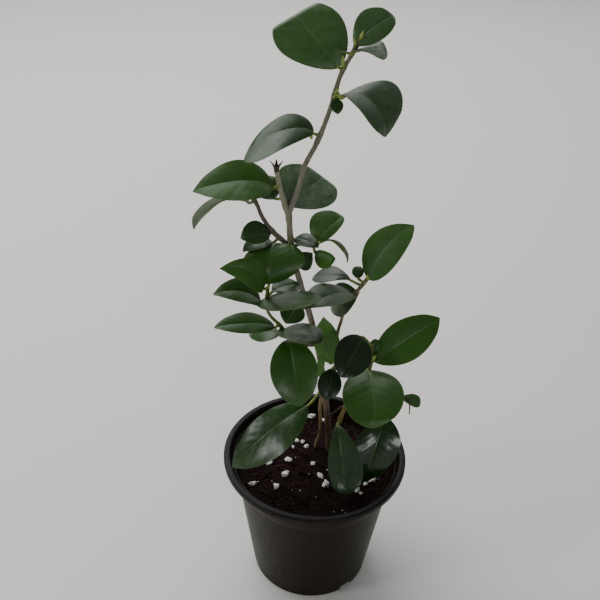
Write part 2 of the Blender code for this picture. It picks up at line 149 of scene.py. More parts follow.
# The dry husk on the cut stub, in mm
HUSK_SCALES = 5
HUSK_TURN = 0.4
HUSK_DEPTH = 2
HUSK_HEIGHT = 10
HUSK_HALF_WIDTH = 1.9
HUSK_RADIUS = 1.2
HUSK_OPENING = 3.6
HUSK_CUP = 0.9
HUSK_THICKNESS = 0.6

# Each stem: its parent, the radius at its foot and its tip, and the points it runs
# through, in mm. The same as in the part's source, so that the bark lies on the solids.
STEMS = {
    "trunk": (None, 2.7, 2.1,
              [(12, 18, 84), (12, 18, 112), (7, 16, 164), (-1, 13, 217), (-8, 11, 248),
               (-17, 9, 281), (-24, 7, 311), (-27, 6, 341)]),
    "leader": ("trunk", 2.1, 1.2,
               [(-27, 6, 340), (-21, 5, 359), (-17, 4, 378), (-10, 4, 394), (-2, 3, 419),
                (4, 2, 444), (9, 1, 455), (14, 0, 466)]),
    "stub": ("trunk", 1.9, 1.6, [(-27, 6, 338), (-33, 7, 358), (-36, 8, 372)]),
    "left_branch": ("trunk", 1.8, 1.2,
                    [(-26, 7, 314), (-38, 4, 327), (-45, 2, 339), (-50, 2, 351), (-54, 3, 356)]),
    "mid_twig": ("trunk", 1.3, 1.0, [(-24, 7, 313), (-16, 5, 317), (-9, 6, 316)]),
    "low_left": ("trunk", 1.5, 1.1,
                 [(-2, 13, 222), (-14, 8, 226), (-24, 3, 236), (-30, -1, 248),
                  (-40, -9, 268), (-40, -14, 291)]),
    "side_stem": (None, 1.5, 1.2,
                  [(1, 20, 84), (1, 20, 109), (4, 15, 130), (3, 8, 171), (8, 4, 194), (13, 5, 211),
                   (12, 7, 226), (13, 7, 241), (15, 7, 251), (17, 6, 265), (24, 4, 278),
                   (31, 2, 291)]),
    "low_stem": (None, 2.2, 1.3,
                 [(20, 8, 84), (20, 8, 112), (18, 4, 138), (19, 2, 156), (24, 1, 174),
                  (34, -3, 199), (39, -5, 222), (38, -4, 236)]),
    "low_twig": ("low_stem", 1.4, 1.0, [(23, 1, 170), (38, 0, 170), (52, 0, 172), (62, 3, 177)]),
}

# The colour of the bark at the foot and at the tip of each stem
BARK = {
    "trunk": ("#6E5544", "#A3A08C"),
    "leader": ("#8E8C80", "#72705C"),
    "stub": ("#A3A08C", "#B6B8A2"),
    "left_branch": ("#7E766C", "#5A4E42"),
    "mid_twig": ("#7E766C", "#6B7440"),
    "low_left": ("#6A6054", "#7C8A3C"),
    "side_stem": ("#A08860", "#8A7A68"),
    "low_stem": ("#9A7448", "#66663C"),
    "low_twig": ("#7E6856", "#6B7440"),
}

# The CAD nodes, with the stems that grow together in each
LEAFY_STEMS = {
    "main_leafy_stem": ("trunk", "leader", "stub", "left_branch", "mid_twig", "low_left"),
    "side_leafy_stem": ("side_stem",),
    "low_leafy_stem": ("low_stem", "low_twig"),
}

# Each leaf: its stem, base, tip, width, how far its face leans to the front and to the
# right of straight up, how high it arches, how far its halves fold up, how far it turns
# along its length, and how far its tip curls back. Sizes in mm, angles in degrees.
LEAVES = {
    "01": ("leader", (2, 0, 448), (-31.5, 21, 478.5), 43, 55, -10, 4, 6, 0, 9),
    "02": ("leader", (11, 0, 462), (36, 12, 479), 22, 50, 0, 4, 8, 0, 2),
    "03": ("leader", (8, -3, 458), (31, -11, 463), 22, 0, 0, 2, 8, -42, 1),
    "04": ("leader", (4.5, -2, 429.5), (35, -20, 412), 44, 30, 50, 11, 12, 0, 2),
    "05": ("leader", (-12, 3, 402), (-56, -14, 396), 37, 12, 10, 9, 12, 0, 2),
    "06": ("stub", (-38, 3, 361), (-91.5, -10, 363.5), 33, 32, 0, 11, 14, 0, 1),
    "07": ("left_branch", (-54, 3, 349), (-96, 9, 324.5), 28, -25, 0, 9, 14, 0, 2),
    "08": ("stub", (-27.5, 9, 345), (-0.5, 28, 361), 43, 50, 0, 4, 8, 0, 4),
    "09": ("left_branch", (-40, 3, 325), (-59, -14, 331), 17, 50, 0, 4, 8, 0, 2),
    "10": ("left_branch", (-38, 5, 317), (-58.5, -8, 317), 15, 10, 0, 4, 8, 0, 1),
    "11": ("low_left", (-39, -15, 295), (-39, 2, 320), 44, 55, 5, 10, 8, 0, 2),
    "12": ("low_left", (-42.7, -21, 295), (-71.7, -33, 318), 20, 50, 10, 6, 10, 0, 1),
    "13": ("low_left", (-45, -13, 276), (-78, -24, 291), 23, 20, 0, 6, 14, 0, 1),
    "14": ("low_left", (-47.5, -14, 277), (-2, -36, 300), 30, 0, 0, 1, 6, 0, 1),
    "15": ("low_left", (-37, -8.6, 284), (-16, 5.4, 282), 20, 5, 0, 3, 10, 0, 1),
    "16": ("side_stem", (22.5, 3, 275.5), (-15, -28, 284.5), 30, 0, 0, 6, 10, 0, 1),
    "17": ("side_stem", (19.5, 3, 289), (-9, 16, 282.5), 20, 10, 0, 4, 8, 0, 1),
    "18": ("side_stem", (25, 4, 290), (24, 13, 296), 9, 60, 0, 1, 8, 0, 1),
    "19": ("side_stem", (32, 1, 292), (62, 12, 332), 28, 56, -25, 1, 10, 0, 1),
    "20": ("side_stem", (26, 5, 277), (5.5, 20, 253), 26, 40, 0, 4, 6, 0, 1),
    "21": ("mid_twig", (-7, 5, 318), (13, 20, 333.5), 22, 45, -25, 4, 8, 0, 2),
    "22": ("trunk", (-22, 5, 320.5), (-5, -12, 325), 12, 30, 0, 3, 8, 0, 1),
    "23": ("mid_twig", (-6, 6, 316), (18.5, 12, 300), 9, -30, 0, 8, 6, 0, 2),
    "24": ("mid_twig", (-7, 3, 311), (7, -8, 313.5), 13, 50, 20, 2, 10, 0, 1),
    "25": ("trunk", (-18, 6, 297), (-9.5, -2, 314), 14, 50, 0, 2, 8, 0, 1),
    "26": ("low_left", (-35, -3, 249), (-79, -18, 258), 19.5, 20, 0, 5, 10, 0, 1),
    "27": ("low_left", (-31, 1, 240), (-56, 12, 230), 21, 20, 0, 4, 8, 0, 1),
    "28": ("trunk", (-18, 7, 264), (-27, -8, 256), 20, 40, 0, 2, 8, 0, 1),
    "29": ("low_left", (-33, -4, 244), (0, -28, 255.5), 26, 0, 0, 4, 8, 0, 1),
    "30": ("low_left", (-24, -4, 239), (-14, -38, 201), 37, 45, 0, 8, 15, 0, 2),
    "31": ("trunk", (-8, -6, 176), (-67, -26, 126), 37, 30, -10, 9, 10, 0, 1),
    "32": ("side_stem", (8, 1, 214), (1, 1, 257), 20, 80, 0, 1, 8, 0, 1),
    "33": ("side_stem", (10, 2, 208), (6.5, -14, 189), 19, 70, 0, 2, 6, 0, 1),
    "34": ("low_stem", (30, -7, 246), (15, -34, 228), 29, 70, 0, 3, 6, 0, 1),
    "35": ("low_stem", (41, -5, 222), (90, 10, 255), 32, 50, 0, 5, 10, 0, 2),
    "36": ("low_stem", (39, -4, 231), (42, 0, 240), 8, 60, 0, 1, 8, 0, 1),
    "37": ("low_stem", (36, -9, 216), (40, -60, 203), 46, 55, 0, 6, 4, 0, 4),
    "38": ("low_twig", (65, 3, 181), (83.5, 5, 174), 11, 30, 0, 1, 8, 0, 1),
    "39": ("low_stem", (16.7, -5, 156.5), (25.2, -46, 118.5), 28, 50, 0, 5, 10, 0, 2),
    "40": ("low_twig", (52, -4, 167), (35, -28, 113), 38, 60, 10, 6, 8, 0, 1),
    "41": ("leader", (8, -3, 458), (0, -8, 460.5), 5, -5, 0, 1, 6, 0, 0),
    "42": ("leader", (0.5, -2, 428.5), (3, -7, 420), 9, 40, 20, 1, 6, 0, 0),
    "43": ("stub", (-36.5, 9, 350), (-47.5, 20, 361), 19, 50, 0, 2, 8, 0, 1),
    "44": ("side_stem", (2, 1, 224.5), (0, -6, 205.5), 6, 60, 0, 1, 6, 0, 0),
}

# How some leaves differ from the usual outline: where along its length the blade is
# widest, how full its ends are (less is blunter), how far its midrib bows sideways in mm,
# how much wider that side is, and how far that side slips towards the tip
LEAF_FORMS = {
    "01": (0.56, 0.5, 0, -0.02, -0.18),
    "02": (0.5, 0.66, -1, -0.12, 0),
    "03": (0.78, 0.38, 0, 0, 0.3),
    "04": (0.55, 0.58, -2, -0.25, -0.02),
    "05": (0.56, 0.52, 0, -0.28, -0.72),
    "06": (0.42, 0.72, 0, -0.05, 0),
    "08": (0.52, 0.58, 0, -0.1, 0.24),
    "09": (0.55, 0.62, 0, 0.2, 0),
    "11": (0.5, 0.5, 0, 0.1, 0.12),
    "12": (0.38, 0.7, 6, 0, 0),
    "13": (0.42, 0.7, 3, 0, 0),
    "14": (0.5, 0.5, 0, 0.15, 0.45),
    "17": (0.6, 0.66, 0, 0, 0),
    "19": (0.44, 0.62, -5, 0, 0),
    "21": (0.45, 0.66, 0, -0.4, 0),
    "24": (0.5, 0.5, 0, 0.6, 0.3),
    "27": (0.47, 0.66, 0, 0, 0.5),
    "29": (0.55, 0.5, 0, -0.12, 0),
    "30": (0.47, 0.6, 0, 0, 0),
    "31": (0.43, 0.7, 0, -0.18, 0),
    "33": (0.5, 0.6, 0, 0, 0),
    "34": (0.45, 0.6, 0, 0, 0),
    "37": (0.5, 0.49, -2, 0, 0),
    "38": (0.65, 0.5, 0, 0, 0),
    "39": (0.62, 0.46, 0, -0.15, 0),
    "40": (0.47, 0.66, -2, 0, 0.35),
}
USUAL_FORM = (0.47, 0.72, 0, 0, 0)

# How young each leaf is, from 0 for hard and dark to 1 for soft and yellow-green, how
# much dust and old water it carries, which also paints a grey sheen where a leaf mirrors
# its bright surroundings, and how dark and polished its face is, the darkening partly
# painted shade. Leaves not named here have the usual look.
LEAF_LOOKS = {
    "01": (0.42, 0.9, 0.0), "02": (0.4, 1.2, 0.0), "03": (0.1, 1.6, 0.0), "04": (0.2, 1.4, 0.0),
    "05": (0.15, 0.4, 0.0), "06": (0.45, 0.2, 0.0), "07": (0.1, 1.0, 0.0), "08": (0.3, 3.2, 0.0),
    "11": (0.42, 0.2, 0.0), "12": (0.6, 0.2, 0.0), "13": (0.3, 0.2, 0.1), "14": (0.25, 0.5, 0.0),
    "16": (0.2, 0.7, 0.0), "17": (0.1, 0.6, 0.2), "18": (0.15, 0.3, 0.3), "19": (0.5, 0.7, 0.0),
    "21": (0.55, 0.6, 0.0), "22": (0.1, 0.3, 0.4), "23": (0.5, 0.8, 0.0), "24": (0.6, 0.1, 0.0),
    "26": (0.3, 0.0, 0.1), "27": (0.3, 0.1, 0.2), "29": (0.15, 0.0, 0.0), "30": (0.45, 0.1, 0.2),
    # Leaf 32 is young, and its full yellow-green is partly painted light shining through it from
    # behind
    "31": (0.35, 0.5, 0.8), "32": (1.0, 0.1, 0.0), "33": (0.0, 0.0, 0.3), "34": (0.0, 0.0, 0.4),
    "35": (0.5, 0.0, 0.1), "36": (0.4, 0.0, 0.3), "37": (0.45, 0.0, 0.0), "38": (0.45, 0.6, 0.2),
    "39": (0.2, 0.9, 0.6), "40": (0.25, 0.0, 1.1), "44": (0.9, 0.1, 0.0),
}
USUAL_LOOK = (0.25, 0.3, 0.3)

# Leaf stalks that are thicker than the others, and by how much
THICK_STALKS = {"04": 1.7}

# Buds: each one's stem, where it sits and points, its length and thickness, in mm
BUDS = {
    "tip": ("leader", (14, 0, 465), (17, 1, 475), 7, 3.0),
    "tip_side": ("leader", (12, -1, 462), (10, -2, 468), 6, 2.6),
    "under_tip": ("leader", (5, 1, 447), (4, 0, 457), 9, 3.0),
    "leader": ("leader", (0, 2, 429), (4, 0, 437), 7, 2.8),
    "leader_low": ("leader", (-13, 3, 398), (-15, 0, 407), 7, 2.6),
    "lower_left": ("low_left", (-40, -14, 290), (-39, -17, 297), 6, 2.8),
    "middle": ("mid_twig", (-8, 5, 316), (-3, 2, 322), 7, 3.6),
    "side": ("side_stem", (31, 2, 291), (31, -1, 299), 6, 2.8),
    "low": ("low_stem", (39, -5, 223), (42, -8, 230), 8, 3.8),
    "low_twig": ("low_twig", (61, 3, 177), (68, 0, 182), 5, 2.2),
}

# Short dry twigs and leaf stalks low on the stems: points and radius, in mm
DRY_TWIGS = [
    ([(4, 14, 133), (0, 9, 134), (-3, 6, 137)], 0.7),
    ([(10, 17, 130), (13, 12, 133), (17, 9, 137)], 0.6),
    ([(3.5, 12, 149), (7, 11, 151.5), (14, 10, 151.5)], 0.7),
    ([(11, 8, 155), (17, 5, 164.5), (23, 2, 173)], 0.8),
    ([(19, 3, 146), (25, 1, 145), (30, 0, 149)], 0.7),
    ([(65, 3, 180), (71, 2, 182), (73, 0, 176), (73.5, -2, 168)], 0.9),
]

# White perlite granules on the mix: across, towards the back and size, in mm
PERLITE = [
    (-3, 60, 6), (-15, 27, 4), (-10, 26, 4), (-7, 20, 4), (-18, 18, 3), (-38, -1, 5),
    (-22, 2, 5), (-24, -14, 6), (-50, -25, 5), (-30, -28, 5), (-1, -1, 4), (5, -15, 5),
    (10, -25, 6), (47, -16, 8), (42, -22, 4), (35, -29, 5), (38, -32, 3),
]
PERLITE_SPARE = 9
PERLITE_SEED = 7
PERLITE_SPREAD = 58
PERLITE_SPACING = 9
PERLITE_STEM_ROOM = 7
PERLITE_GRIT = 26
PERLITE_DOUBLE = 5

# The camera, fitted to the photograph
CAMERA_PLACE = (-16.8, -547.1, 640.7)
CAMERA_PITCH = 33.96
CAMERA_ROLL = 2.12
CAMERA_LENS = 54

# The soft lights: place and size in metres, the setting that powers each, and its share
LIGHTS = {
    "back_softbox": ((0.1, 1.7, 1.1), (3.0, 1.6), "back", 1),
    "top_softbox": ((-0.7, 0.85, 1.7), (2.0, 1.4), "top", 1),
    "side_window": ((-1.6, -0.65, 0.95), (0.35, 0.6), "window", 1),
    "front_window": ((0.6, -1.85, 0.45), (0.3, 0.4), "window", 0.8),
}
LIGHT_AIM = (0, 0, 0.25)
FLOOR_SIZE = 12

# Shader sockets go by name or number. Math and Map Range start with what they work on,
# and Map Range then has the range it reads, 1 and 2, and the range it gives, 3 and 4.
# These are the sockets of the Mix node when it mixes colours.
MIX_FACTOR = 0
MIX_A = 6
MIX_B = 7
MIX_RESULT = 2


# Colours and nodes

def linear(hex_colour):
    """Turn an sRGB hex colour into the linear values that Blender shades with."""
    channels = [int(hex_colour[i:i + 2], 16) / 255 for i in (1, 3, 5)]
    return [c / 12.92 if c <= 0.04045 else ((c + 0.055) / 1.055) ** 2.4 for c in channels]


def colour_property(name, description, hex_colour):
    return FloatVectorProperty(name=name, description=description, default=linear(hex_colour),
                               subtype="COLOR", size=3, min=0, max=1)


def size_property(name, description, size_mm):
    return FloatProperty(name=name, description=description, default=size_mm * MM,
                         unit="LENGTH", precision=4, min=0)


def link(tree, node, links):
    """Give sockets of the node their sources: sockets, or nodes by their main output."""
    for key, source in links.items():
        if isinstance(source, bpy.types.Node):
            mixes = source.bl_idname == "ShaderNodeMix"
            source = source.outputs[MIX_RESULT if mixes else 0]
        tree.links.new(source, node.inputs[key])


def add_node(tree, kind, settings=None, links=None):
    """Add a shader node; a setting names a property or a socket, a link gives a socket
    its source, and stops are a colour ramp's places and hex colours."""
    node = tree.nodes.new("ShaderNode" + kind)
    for key, value in (settings or {}).items():
        if key == "stops":
            while len(node.color_ramp.elements) < len(value):
                node.color_ramp.elements.new(1)
            for element, (place, hex_colour) in zip(node.color_ramp.elements, value):
                element.position = place
                element.color = linear(hex_colour) + [1]
        elif isinstance(key, int) or key in node.inputs:
            node.inputs[key].default_value = value
        else:
            setattr(node, key, value)
    link(tree, node, links or {})
    return node


def start_material(name, surface):
    """A new material, its node tree, and its Principled shader with plain sockets set."""
    material = bpy.data.materials.new(name)
    material.use_nodes = True
    shader = material.node_tree.nodes["Principled BSDF"]
    for socket, value in surface.items():
        shader.inputs[socket].default_value = value
    return material, material.node_tree, shader


def rgba(colour):
    return tuple(colour) + (1,)


# Modelling helpers

def select_only(obj):
    if bpy.context.object and bpy.context.object.mode != "OBJECT":
        bpy.ops.object.mode_set(mode="OBJECT")
    bpy.ops.object.select_all(action="DESELECT")
    if obj:
        obj.select_set(True)
        bpy.context.view_layer.objects.active = obj


def name_new(name):
    """Name the object that an operator has just added."""
    obj = bpy.context.object
    obj.name = name
    obj.data.name = name
    return obj


def edit(obj, action="DESELECT"):
    """Enter edit mode with nothing selected, or with everything by the action SELECT."""
    select_only(obj)
    bpy.ops.object.mode_set(mode="EDIT")
    bpy.ops.mesh.select_mode(type="VERT")
    bpy.ops.mesh.select_all(action=action)


def end_edit():
    bpy.ops.object.mode_set(mode="OBJECT")


def pick(obj, test):
    """In edit mode, select the vertices whose place passes the test, and no others."""
    bpy.ops.mesh.select_all(action="DESELECT")
    bm = bmesh.from_edit_mesh(obj.data)
    for vertex in bm.verts:
        if test(vertex.co):
            vertex.select = True
    bm.select_flush(True)
    bmesh.update_edit_mesh(obj.data)


def apply_modifiers(obj):
    select_only(obj)
    for modifier in list(obj.modifiers):
        bpy.ops.object.modifier_apply(modifier=modifier.name)


def place_origin(obj):
    """Put the object's place, turn and size into its mesh."""
    select_only(obj)
    bpy.ops.object.transform_apply(location=True, rotation=True, scale=True)


def join_pieces(name, pieces):
    select_only(pieces[0])
    for piece in pieces:
        piece.select_set(True)
    if len(pieces) > 1:
        bpy.ops.object.join()
    return name_new(name)


def wear(obj, *materials):
    """Give the object its materials, in the order of its slots."""
    obj.data.materials.clear()
    for material in materials:
        obj.data.materials.append(material)


def thicken(obj, thickness, far_side=0, rim=0):
    """Give a sheet its thickness; its far side and rim wear the materials so many slots on."""
    thick = obj.modifiers.new("Thickness", "SOLIDIFY")
    thick.thickness = thickness
    thick.offset = 0
    thick.material_offset = far_side
    thick.material_offset_rim = rim
    apply_modifiers(obj)


def settle(obj, node, material=None, angle=None):
    """Dress and smooth the piece, which rides on the one body and stands for its CAD node."""
    if material:
        wear(obj, material)
    if angle:
        select_only(obj)
        bpy.ops.object.shade_smooth_by_angle(angle=math.radians(angle))
    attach(obj, "root")
    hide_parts(node)


def tube(name, points, start_radius, end_radius, sides_level, steps):
    """A smooth round shoot through the points, tapering from its foot to its tip."""
    select_only(None)
    bpy.ops.curve.primitive_bezier_curve_add()
    obj = name_new(name)
    curve = obj.data
    curve.bevel_depth = MM
    curve.bevel_resolution = sides_level
    curve.use_fill_caps = True
    curve.resolution_u = steps
    spline = curve.splines[0]
    spline.bezier_points.add(len(points) - len(spline.bezier_points))
    for number, (knot, point) in enumerate(zip(spline.bezier_points, points)):
        knot.co = Vector(point) * MM
        knot.handle_left_type = "AUTO"
        knot.handle_right_type = "AUTO"
        part = number / (len(points) - 1)
        knot.radius = start_radius + (end_radius - start_radius) * part
    bpy.ops.object.convert(target="MESH")
    edit(obj, "SELECT")
    bpy.ops.mesh.remove_doubles(threshold=0.01 * MM)
    bpy.ops.mesh.normals_make_consistent(inside=False)
    end_edit()
    return obj


def copy_mesh(master, name):
    """A copy of the master with its own mesh."""
    obj = bpy.data.objects.new(name, master.data.copy())
    obj.data.name = name
    bpy.context.scene.collection.objects.link(obj)
    return obj


def tint(obj, name, colour_of):
    """Write a colour for each vertex, worked out from its place in mm."""
    layer = obj.data.color_attributes.new(name, "FLOAT_COLOR", "POINT")
    for vertex, value in zip(obj.data.vertices, layer.data):
        value.color = colour_of(vertex.co / MM)


# The pot

class PotSettings(bpy.types.PropertyGroup):
    lip_radius: FloatProperty(name="Lip radius", description="Outside radius of the lip",
                              default=POT_HIGH.x, unit="LENGTH", precision=4)
    height: FloatProperty(name="Height", description="Height of the pot",
                          default=POT_HIGH.z, unit="LENGTH", precision=4)
    sides: IntProperty(name="Sides", description="Faces round the pot", default=144, min=24)
    # The plastic's colour is warmed to paint in the warm reflections that the pale floor does not
    # give
    colour: colour_property("Plastic", "Colour of the plastic", "#171006")
    # A cooler colour painted on the top of the lip as its highlight
    painted_lip_sheen: colour_property("Rubbed lip", "Colour of the rubbed top of the lip", "#15151A")


def wall_radius(height):
    """The pot's outer radius in mm at a height below the lip."""
    part = height / (POT_HIGH.z / MM - LIP_DEPTH)
    return POT_BASE_RADIUS + (POT_NECK_RADIUS - POT_BASE_RADIUS) * part


def rounded_corner(centre, radius, start, end):
    """Points of an arc in the pot's (radius, height) outline, angles in degrees."""
    turns = [math.radians(start + (end - start) * i / CORNER_STEPS)
             for i in range(CORNER_STEPS + 1)]
    return [(centre[0] + radius * math.cos(t), centre[1] + radius * math.sin(t)) for t in turns]


def pot_outline(lip_radius, height):
    """The pot's outline from the underside, up its outside, over the lip and down inside."""
    lip_foot = height - LIP_DEPTH
    throat = height - 2 * LIP_DEPTH
    flare = lip_foot - LIP_FLARE_DEPTH
    crest = lip_radius - LIP_CREST
    stand = POT_BASE_RADIUS - STAND_WIDTH
    outline = [(stand - STAND_HEIGHT, STAND_HEIGHT), (stand, 0.0)]
    outline += rounded_corner((POT_BASE_RADIUS - EDGE_ROUND, EDGE_ROUND), EDGE_ROUND, -90, 0)
    outline += [(wall_radius(z), z) for z in WALL_RINGS]
    outline += [(wall_radius(BAND_FOOT - 1), BAND_FOOT - 1)]
    outline += [(wall_radius(z) + BAND_DEPTH, z) for z in (BAND_FOOT, BAND_TOP)]
    outline += [(wall_radius(flare), flare), (POT_NECK_RADIUS + LIP_FLARE, lip_foot)]
    outline += rounded_corner((lip_radius - EDGE_ROUND, lip_foot + EDGE_ROUND), EDGE_ROUND, -90, 0)
    outline += rounded_corner((lip_radius - LIP_ROUND, height - LIP_ROUND), LIP_ROUND, 0, 90)
    outline += rounded_corner((crest, height - LIP_ROUND), LIP_ROUND, 90, 180)
    outline += [(wall_radius(throat) - POT_WALL, throat)]
    outline += [(wall_radius(z) - POT_WALL, z) for z in (*INNER_RINGS, POT_FLOOR)]
    return outline


def build_pot(settings, material):
    """The outline drawn up ring by ring: each ring is extruded, raised and resized."""
    outline = pot_outline(settings.lip_radius / MM, settings.height / MM)
    radius, height = outline[0]
    select_only(None)
    bpy.ops.mesh.primitive_circle_add(vertices=settings.sides, radius=radius * MM,
                                      fill_type="NGON", location=(0, 0, height * MM))
    pot = name_new("nursery_pot")
    place_origin(pot)
    edit(pot, "SELECT")
    for next_radius, next_height in outline[1:]:
        bpy.ops.mesh.extrude_region_move(
            TRANSFORM_OT_translate={"value": (0, 0, (next_height - height) * MM)})
        ratio = next_radius / radius
        bpy.ops.transform.resize(value=(ratio, ratio, 1), center_override=(0, 0, 0))
        radius, height = next_radius, next_height
    bpy.ops.mesh.select_all(action="SELECT")
    bpy.ops.mesh.normals_make_consistent(inside=False)
    end_edit()
    cut_drain_slots(pot)
    settle(pot, "pot", material, 40)


def cut_drain_slots(pot):
    cutters = []
    for number in range(DRAIN_SLOTS):
        angle = math.radians(DRAIN_SLOT_TURN) + math.tau * number / DRAIN_SLOTS
        place = (POT_BASE_RADIUS * MM * math.cos(angle), POT_BASE_RADIUS * MM * math.sin(angle), 0)
        select_only(None)
        bpy.ops.mesh.primitive_cube_add(
            size=1, location=place, rotation=(0, 0, angle),
            scale=(2 * DRAIN_SLOT_REACH * MM, DRAIN_SLOT_WIDTH * MM, 2 * DRAIN_SLOT_HEIGHT * MM))
        cutter = name_new("slot_cutter")
        edit(cutter, "SELECT")
        bpy.ops.mesh.bevel(offset=DRAIN_SLOT_ROUND * MM, segments=3, affect="EDGES")
        end_edit()
        place_origin(cutter)
        cut = pot.modifiers.new("Drain slot", "BOOLEAN")
        cut.operation = "DIFFERENCE"
        cut.object = cutter
        cut.solver = "EXACT"
        cutters.append(cutter)
    apply_modifiers(pot)
    for cutter in cutters:
        bpy.data.objects.remove(cutter)


def moulded_polypropylene(settings):
    """Injection-moulded black polypropylene: satin, with a faint orange peel, fine upright
    scuffs, dried water drops, and a painted cooler highlight on the top of the lip."""
    surface = {"IOR": 1.49, "Roughness": 0.42, "Specular IOR Level": 0.16}
    material, tree, shader = start_material("moulded_polypropylene", surface)
    place = add_node(tree, "TexCoord").outputs["Object"]
    parts = add_node(tree, "SeparateXYZ", links={0: place})
    # Orange peel about 1.5 mm across
    peel = add_node(tree, "TexNoise", {"Scale": 1 / (1.5 * MM), "Detail": 2}, {0: place})
    # Scuffs 2.5 mm wide and as tall as the wall
    tall = add_node(tree, "Mapping", {"Scale": (1, 1, 0.025)}, {0: place})
    scuffs = add_node(tree, "TexNoise", {"Scale": 1 / (2.5 * MM), "Detail": 4}, {0: tall})
    scuffed = add_node(tree, "MapRange", {1: 0.52, 2: 0.72, 3: 0.0, 4: 1.0}, {0: scuffs})
    # Dried drops 5 mm apart, in patches 26 mm across
    drops = add_node(tree, "TexVoronoi", {"Scale": 1 / (5 * MM)}, {0: place})
    drop = add_node(tree, "MapRange", {1: 0.10, 2: 0.22, 3: 1.0, 4: 0.0},
                    {0: drops.outputs["Distance"]})
    patches = add_node(tree, "TexNoise", {"Scale": 1 / (26 * MM), "Detail": 1}, {0: place})
    patch = add_node(tree, "MapRange", {1: 0.52, 2: 0.66, 3: 0.0, 4: 0.5}, {0: patches})
    dried = add_node(tree, "Math", {"operation": "MULTIPLY"}, {0: drop, 1: patch})
    # Painted highlight: the lip's top turns cooler over its last 2 mm
    top = settings.height
    painted_lip_sheen = add_node(tree, "MapRange", {1: top - 2 * MM, 2: top, 3: 0.0, 4: 0.6},
                      {0: parts.outputs["Z"]})
    plain = add_node(tree, "Mix",
                     {"data_type": "RGBA", MIX_A: rgba(settings.colour),
                      MIX_B: rgba(settings.painted_lip_sheen)}, {MIX_FACTOR: painted_lip_sheen})
    marked = add_node(tree, "Mix", {"data_type": "RGBA", MIX_B: rgba(linear("#5A554B"))},
                      {MIX_FACTOR: dried, MIX_A: plain})
    rough = add_node(tree, "MapRange", {3: 0.4, 4: 0.47}, {0: scuffed})
    height = add_node(tree, "Math", {"operation": "ADD"}, {0: peel, 1: scuffed})
    bump = add_node(tree, "Bump", {"Strength": 0.07, "Distance": 0.2 * MM}, {"Height": height})
    link(tree, shader, {"Base Color": marked, "Roughness": rough, "Normal": bump})
    return material


class CAMELLIA_OT_build_pot(bpy.types.Operator):
    """Model the thin black nursery pot with its rolled lip and drain slots"""
    bl_idname = "camellia.build_pot"
    bl_label = "Nursery pot"

    def execute(self, context):
        settings = context.scene.camellia_pot
        build_pot(settings, moulded_polypropylene(settings))
        return {"FINISHED"}


# The potting mix and what lies in it

class MixSettings(bpy.types.PropertyGroup):
    cells: IntProperty(name="Cells", description="Cells across the surface", default=120, min=20)
    crumbs: IntProperty(name="Crumbs", description="Loose crumbs on the mix", default=900, min=0)
    fibres: IntProperty(name="Fibres", description="Loose coir fibres", default=150, min=0)
    seed: IntProperty(name="Seed", description="Seed of the scatter", default=11)
    dark: colour_property("Wet mix", "Colour of the wet mix", "#120403")
    light: colour_property("Dry mix", "Colour of the drier crumbs", "#3A170D")


def mix_height(x, y):
    """The height in mm of the potting mix's uneven surface at a place in the pot."""
    radius = math.hypot(x, y) / (POT_NECK_RADIUS - POT_WALL)
    mound = MIX_MOUND * max(0, 1 - radius ** 2)
    waves = math.sin(x / MIX_WAVE_ACROSS) * math.cos(y / MIX_WAVE_DEEP)
    waves += math.sin((x + y) / MIX_WAVE_SLANT)
    return MIX_LEVEL + mound + MIX_RELIEF * waves * max(0, 1 - radius ** 4)


def build_mix(settings, material):
    """A fine square grid rounded to the pot, with its rim drawn down to the pot's floor."""
    rim = wall_radius(MIX_LEVEL) - POT_WALL - MIX_GAP
    foot = wall_radius(POT_FLOOR + MIX_GAP) - POT_WALL - MIX_GAP
    select_only(None)
    bpy.ops.mesh.primitive_grid_add(x_subdivisions=settings.cells, y_subdivisions=settings.cells,
                                    size=2 * MM)
    mix = name_new("potting_mix_surface")
    for vertex in mix.data.vertices:
        across, back = vertex.co.x / MM, vertex.co.y / MM
        x = rim * across * math.sqrt(1 - back * back / 2)
        y = rim * back * math.sqrt(1 - across * across / 2)
        crumbly = noise.fractal(Vector((x, y, 3)) / MIX_LUMP_SIZE, 0.8, 2.1, 4)
        # The lumps fade out just before the wall
        inside = max(0, 1 - (math.hypot(x, y) / rim) ** 12)
        vertex.co = Vector((x, y, mix_height(x, y) + MIX_LUMP_HEIGHT * crumbly * inside)) * MM
    edit(mix)
    bpy.ops.mesh.select_mode(type="EDGE")
    bpy.ops.mesh.select_non_manifold()
    drop = POT_FLOOR + MIX_GAP - MIX_LEVEL
    bpy.ops.mesh.extrude_region_move(TRANSFORM_OT_translate={"value": (0, 0, drop * MM)})
    bpy.ops.transform.resize(value=(foot / rim, foot / rim, 1), center_override=(0, 0, 0))
    bpy.ops.mesh.edge_face_add()
    bpy.ops.mesh.select_all(action="SELECT")
    bpy.ops.mesh.normals_make_consistent(inside=False)
    end_edit()
    settle(mix, "potting_mix", material, 50)


def scatter(draw, reach):
    """A random place on the mix within the reach, evenly over its area."""
    radius = reach * math.sqrt(draw.random())
    angle = draw.uniform(0, math.tau)
    return radius * math.cos(angle), radius * math.sin(angle)


def model_master_lump(name, subdivisions):
    select_only(None)
    bpy.ops.mesh.primitive_ico_sphere_add(subdivisions=subdivisions, radius=1)
    return name_new(name)


def lump(master, name, place, size, squash, turn, roughness, seed):
    """A copy of the master stone, made uneven, squashed, turned and put in its place (mm)."""
    obj = copy_mesh(master, name)
    spin = Matrix.Rotation(turn, 3, Vector((math.sin(seed), math.cos(seed), 0.7)).normalized())
    for vertex in obj.data.vertices:
        uneven = 1 + roughness * noise.noise(vertex.co * 1.7 + Vector((seed, 0, -seed)))
        point = spin @ Vector((v * s for v, s in zip(vertex.co * uneven, squash)))
        vertex.co = (Vector(place) + point * (size / 2)) * MM
    return obj


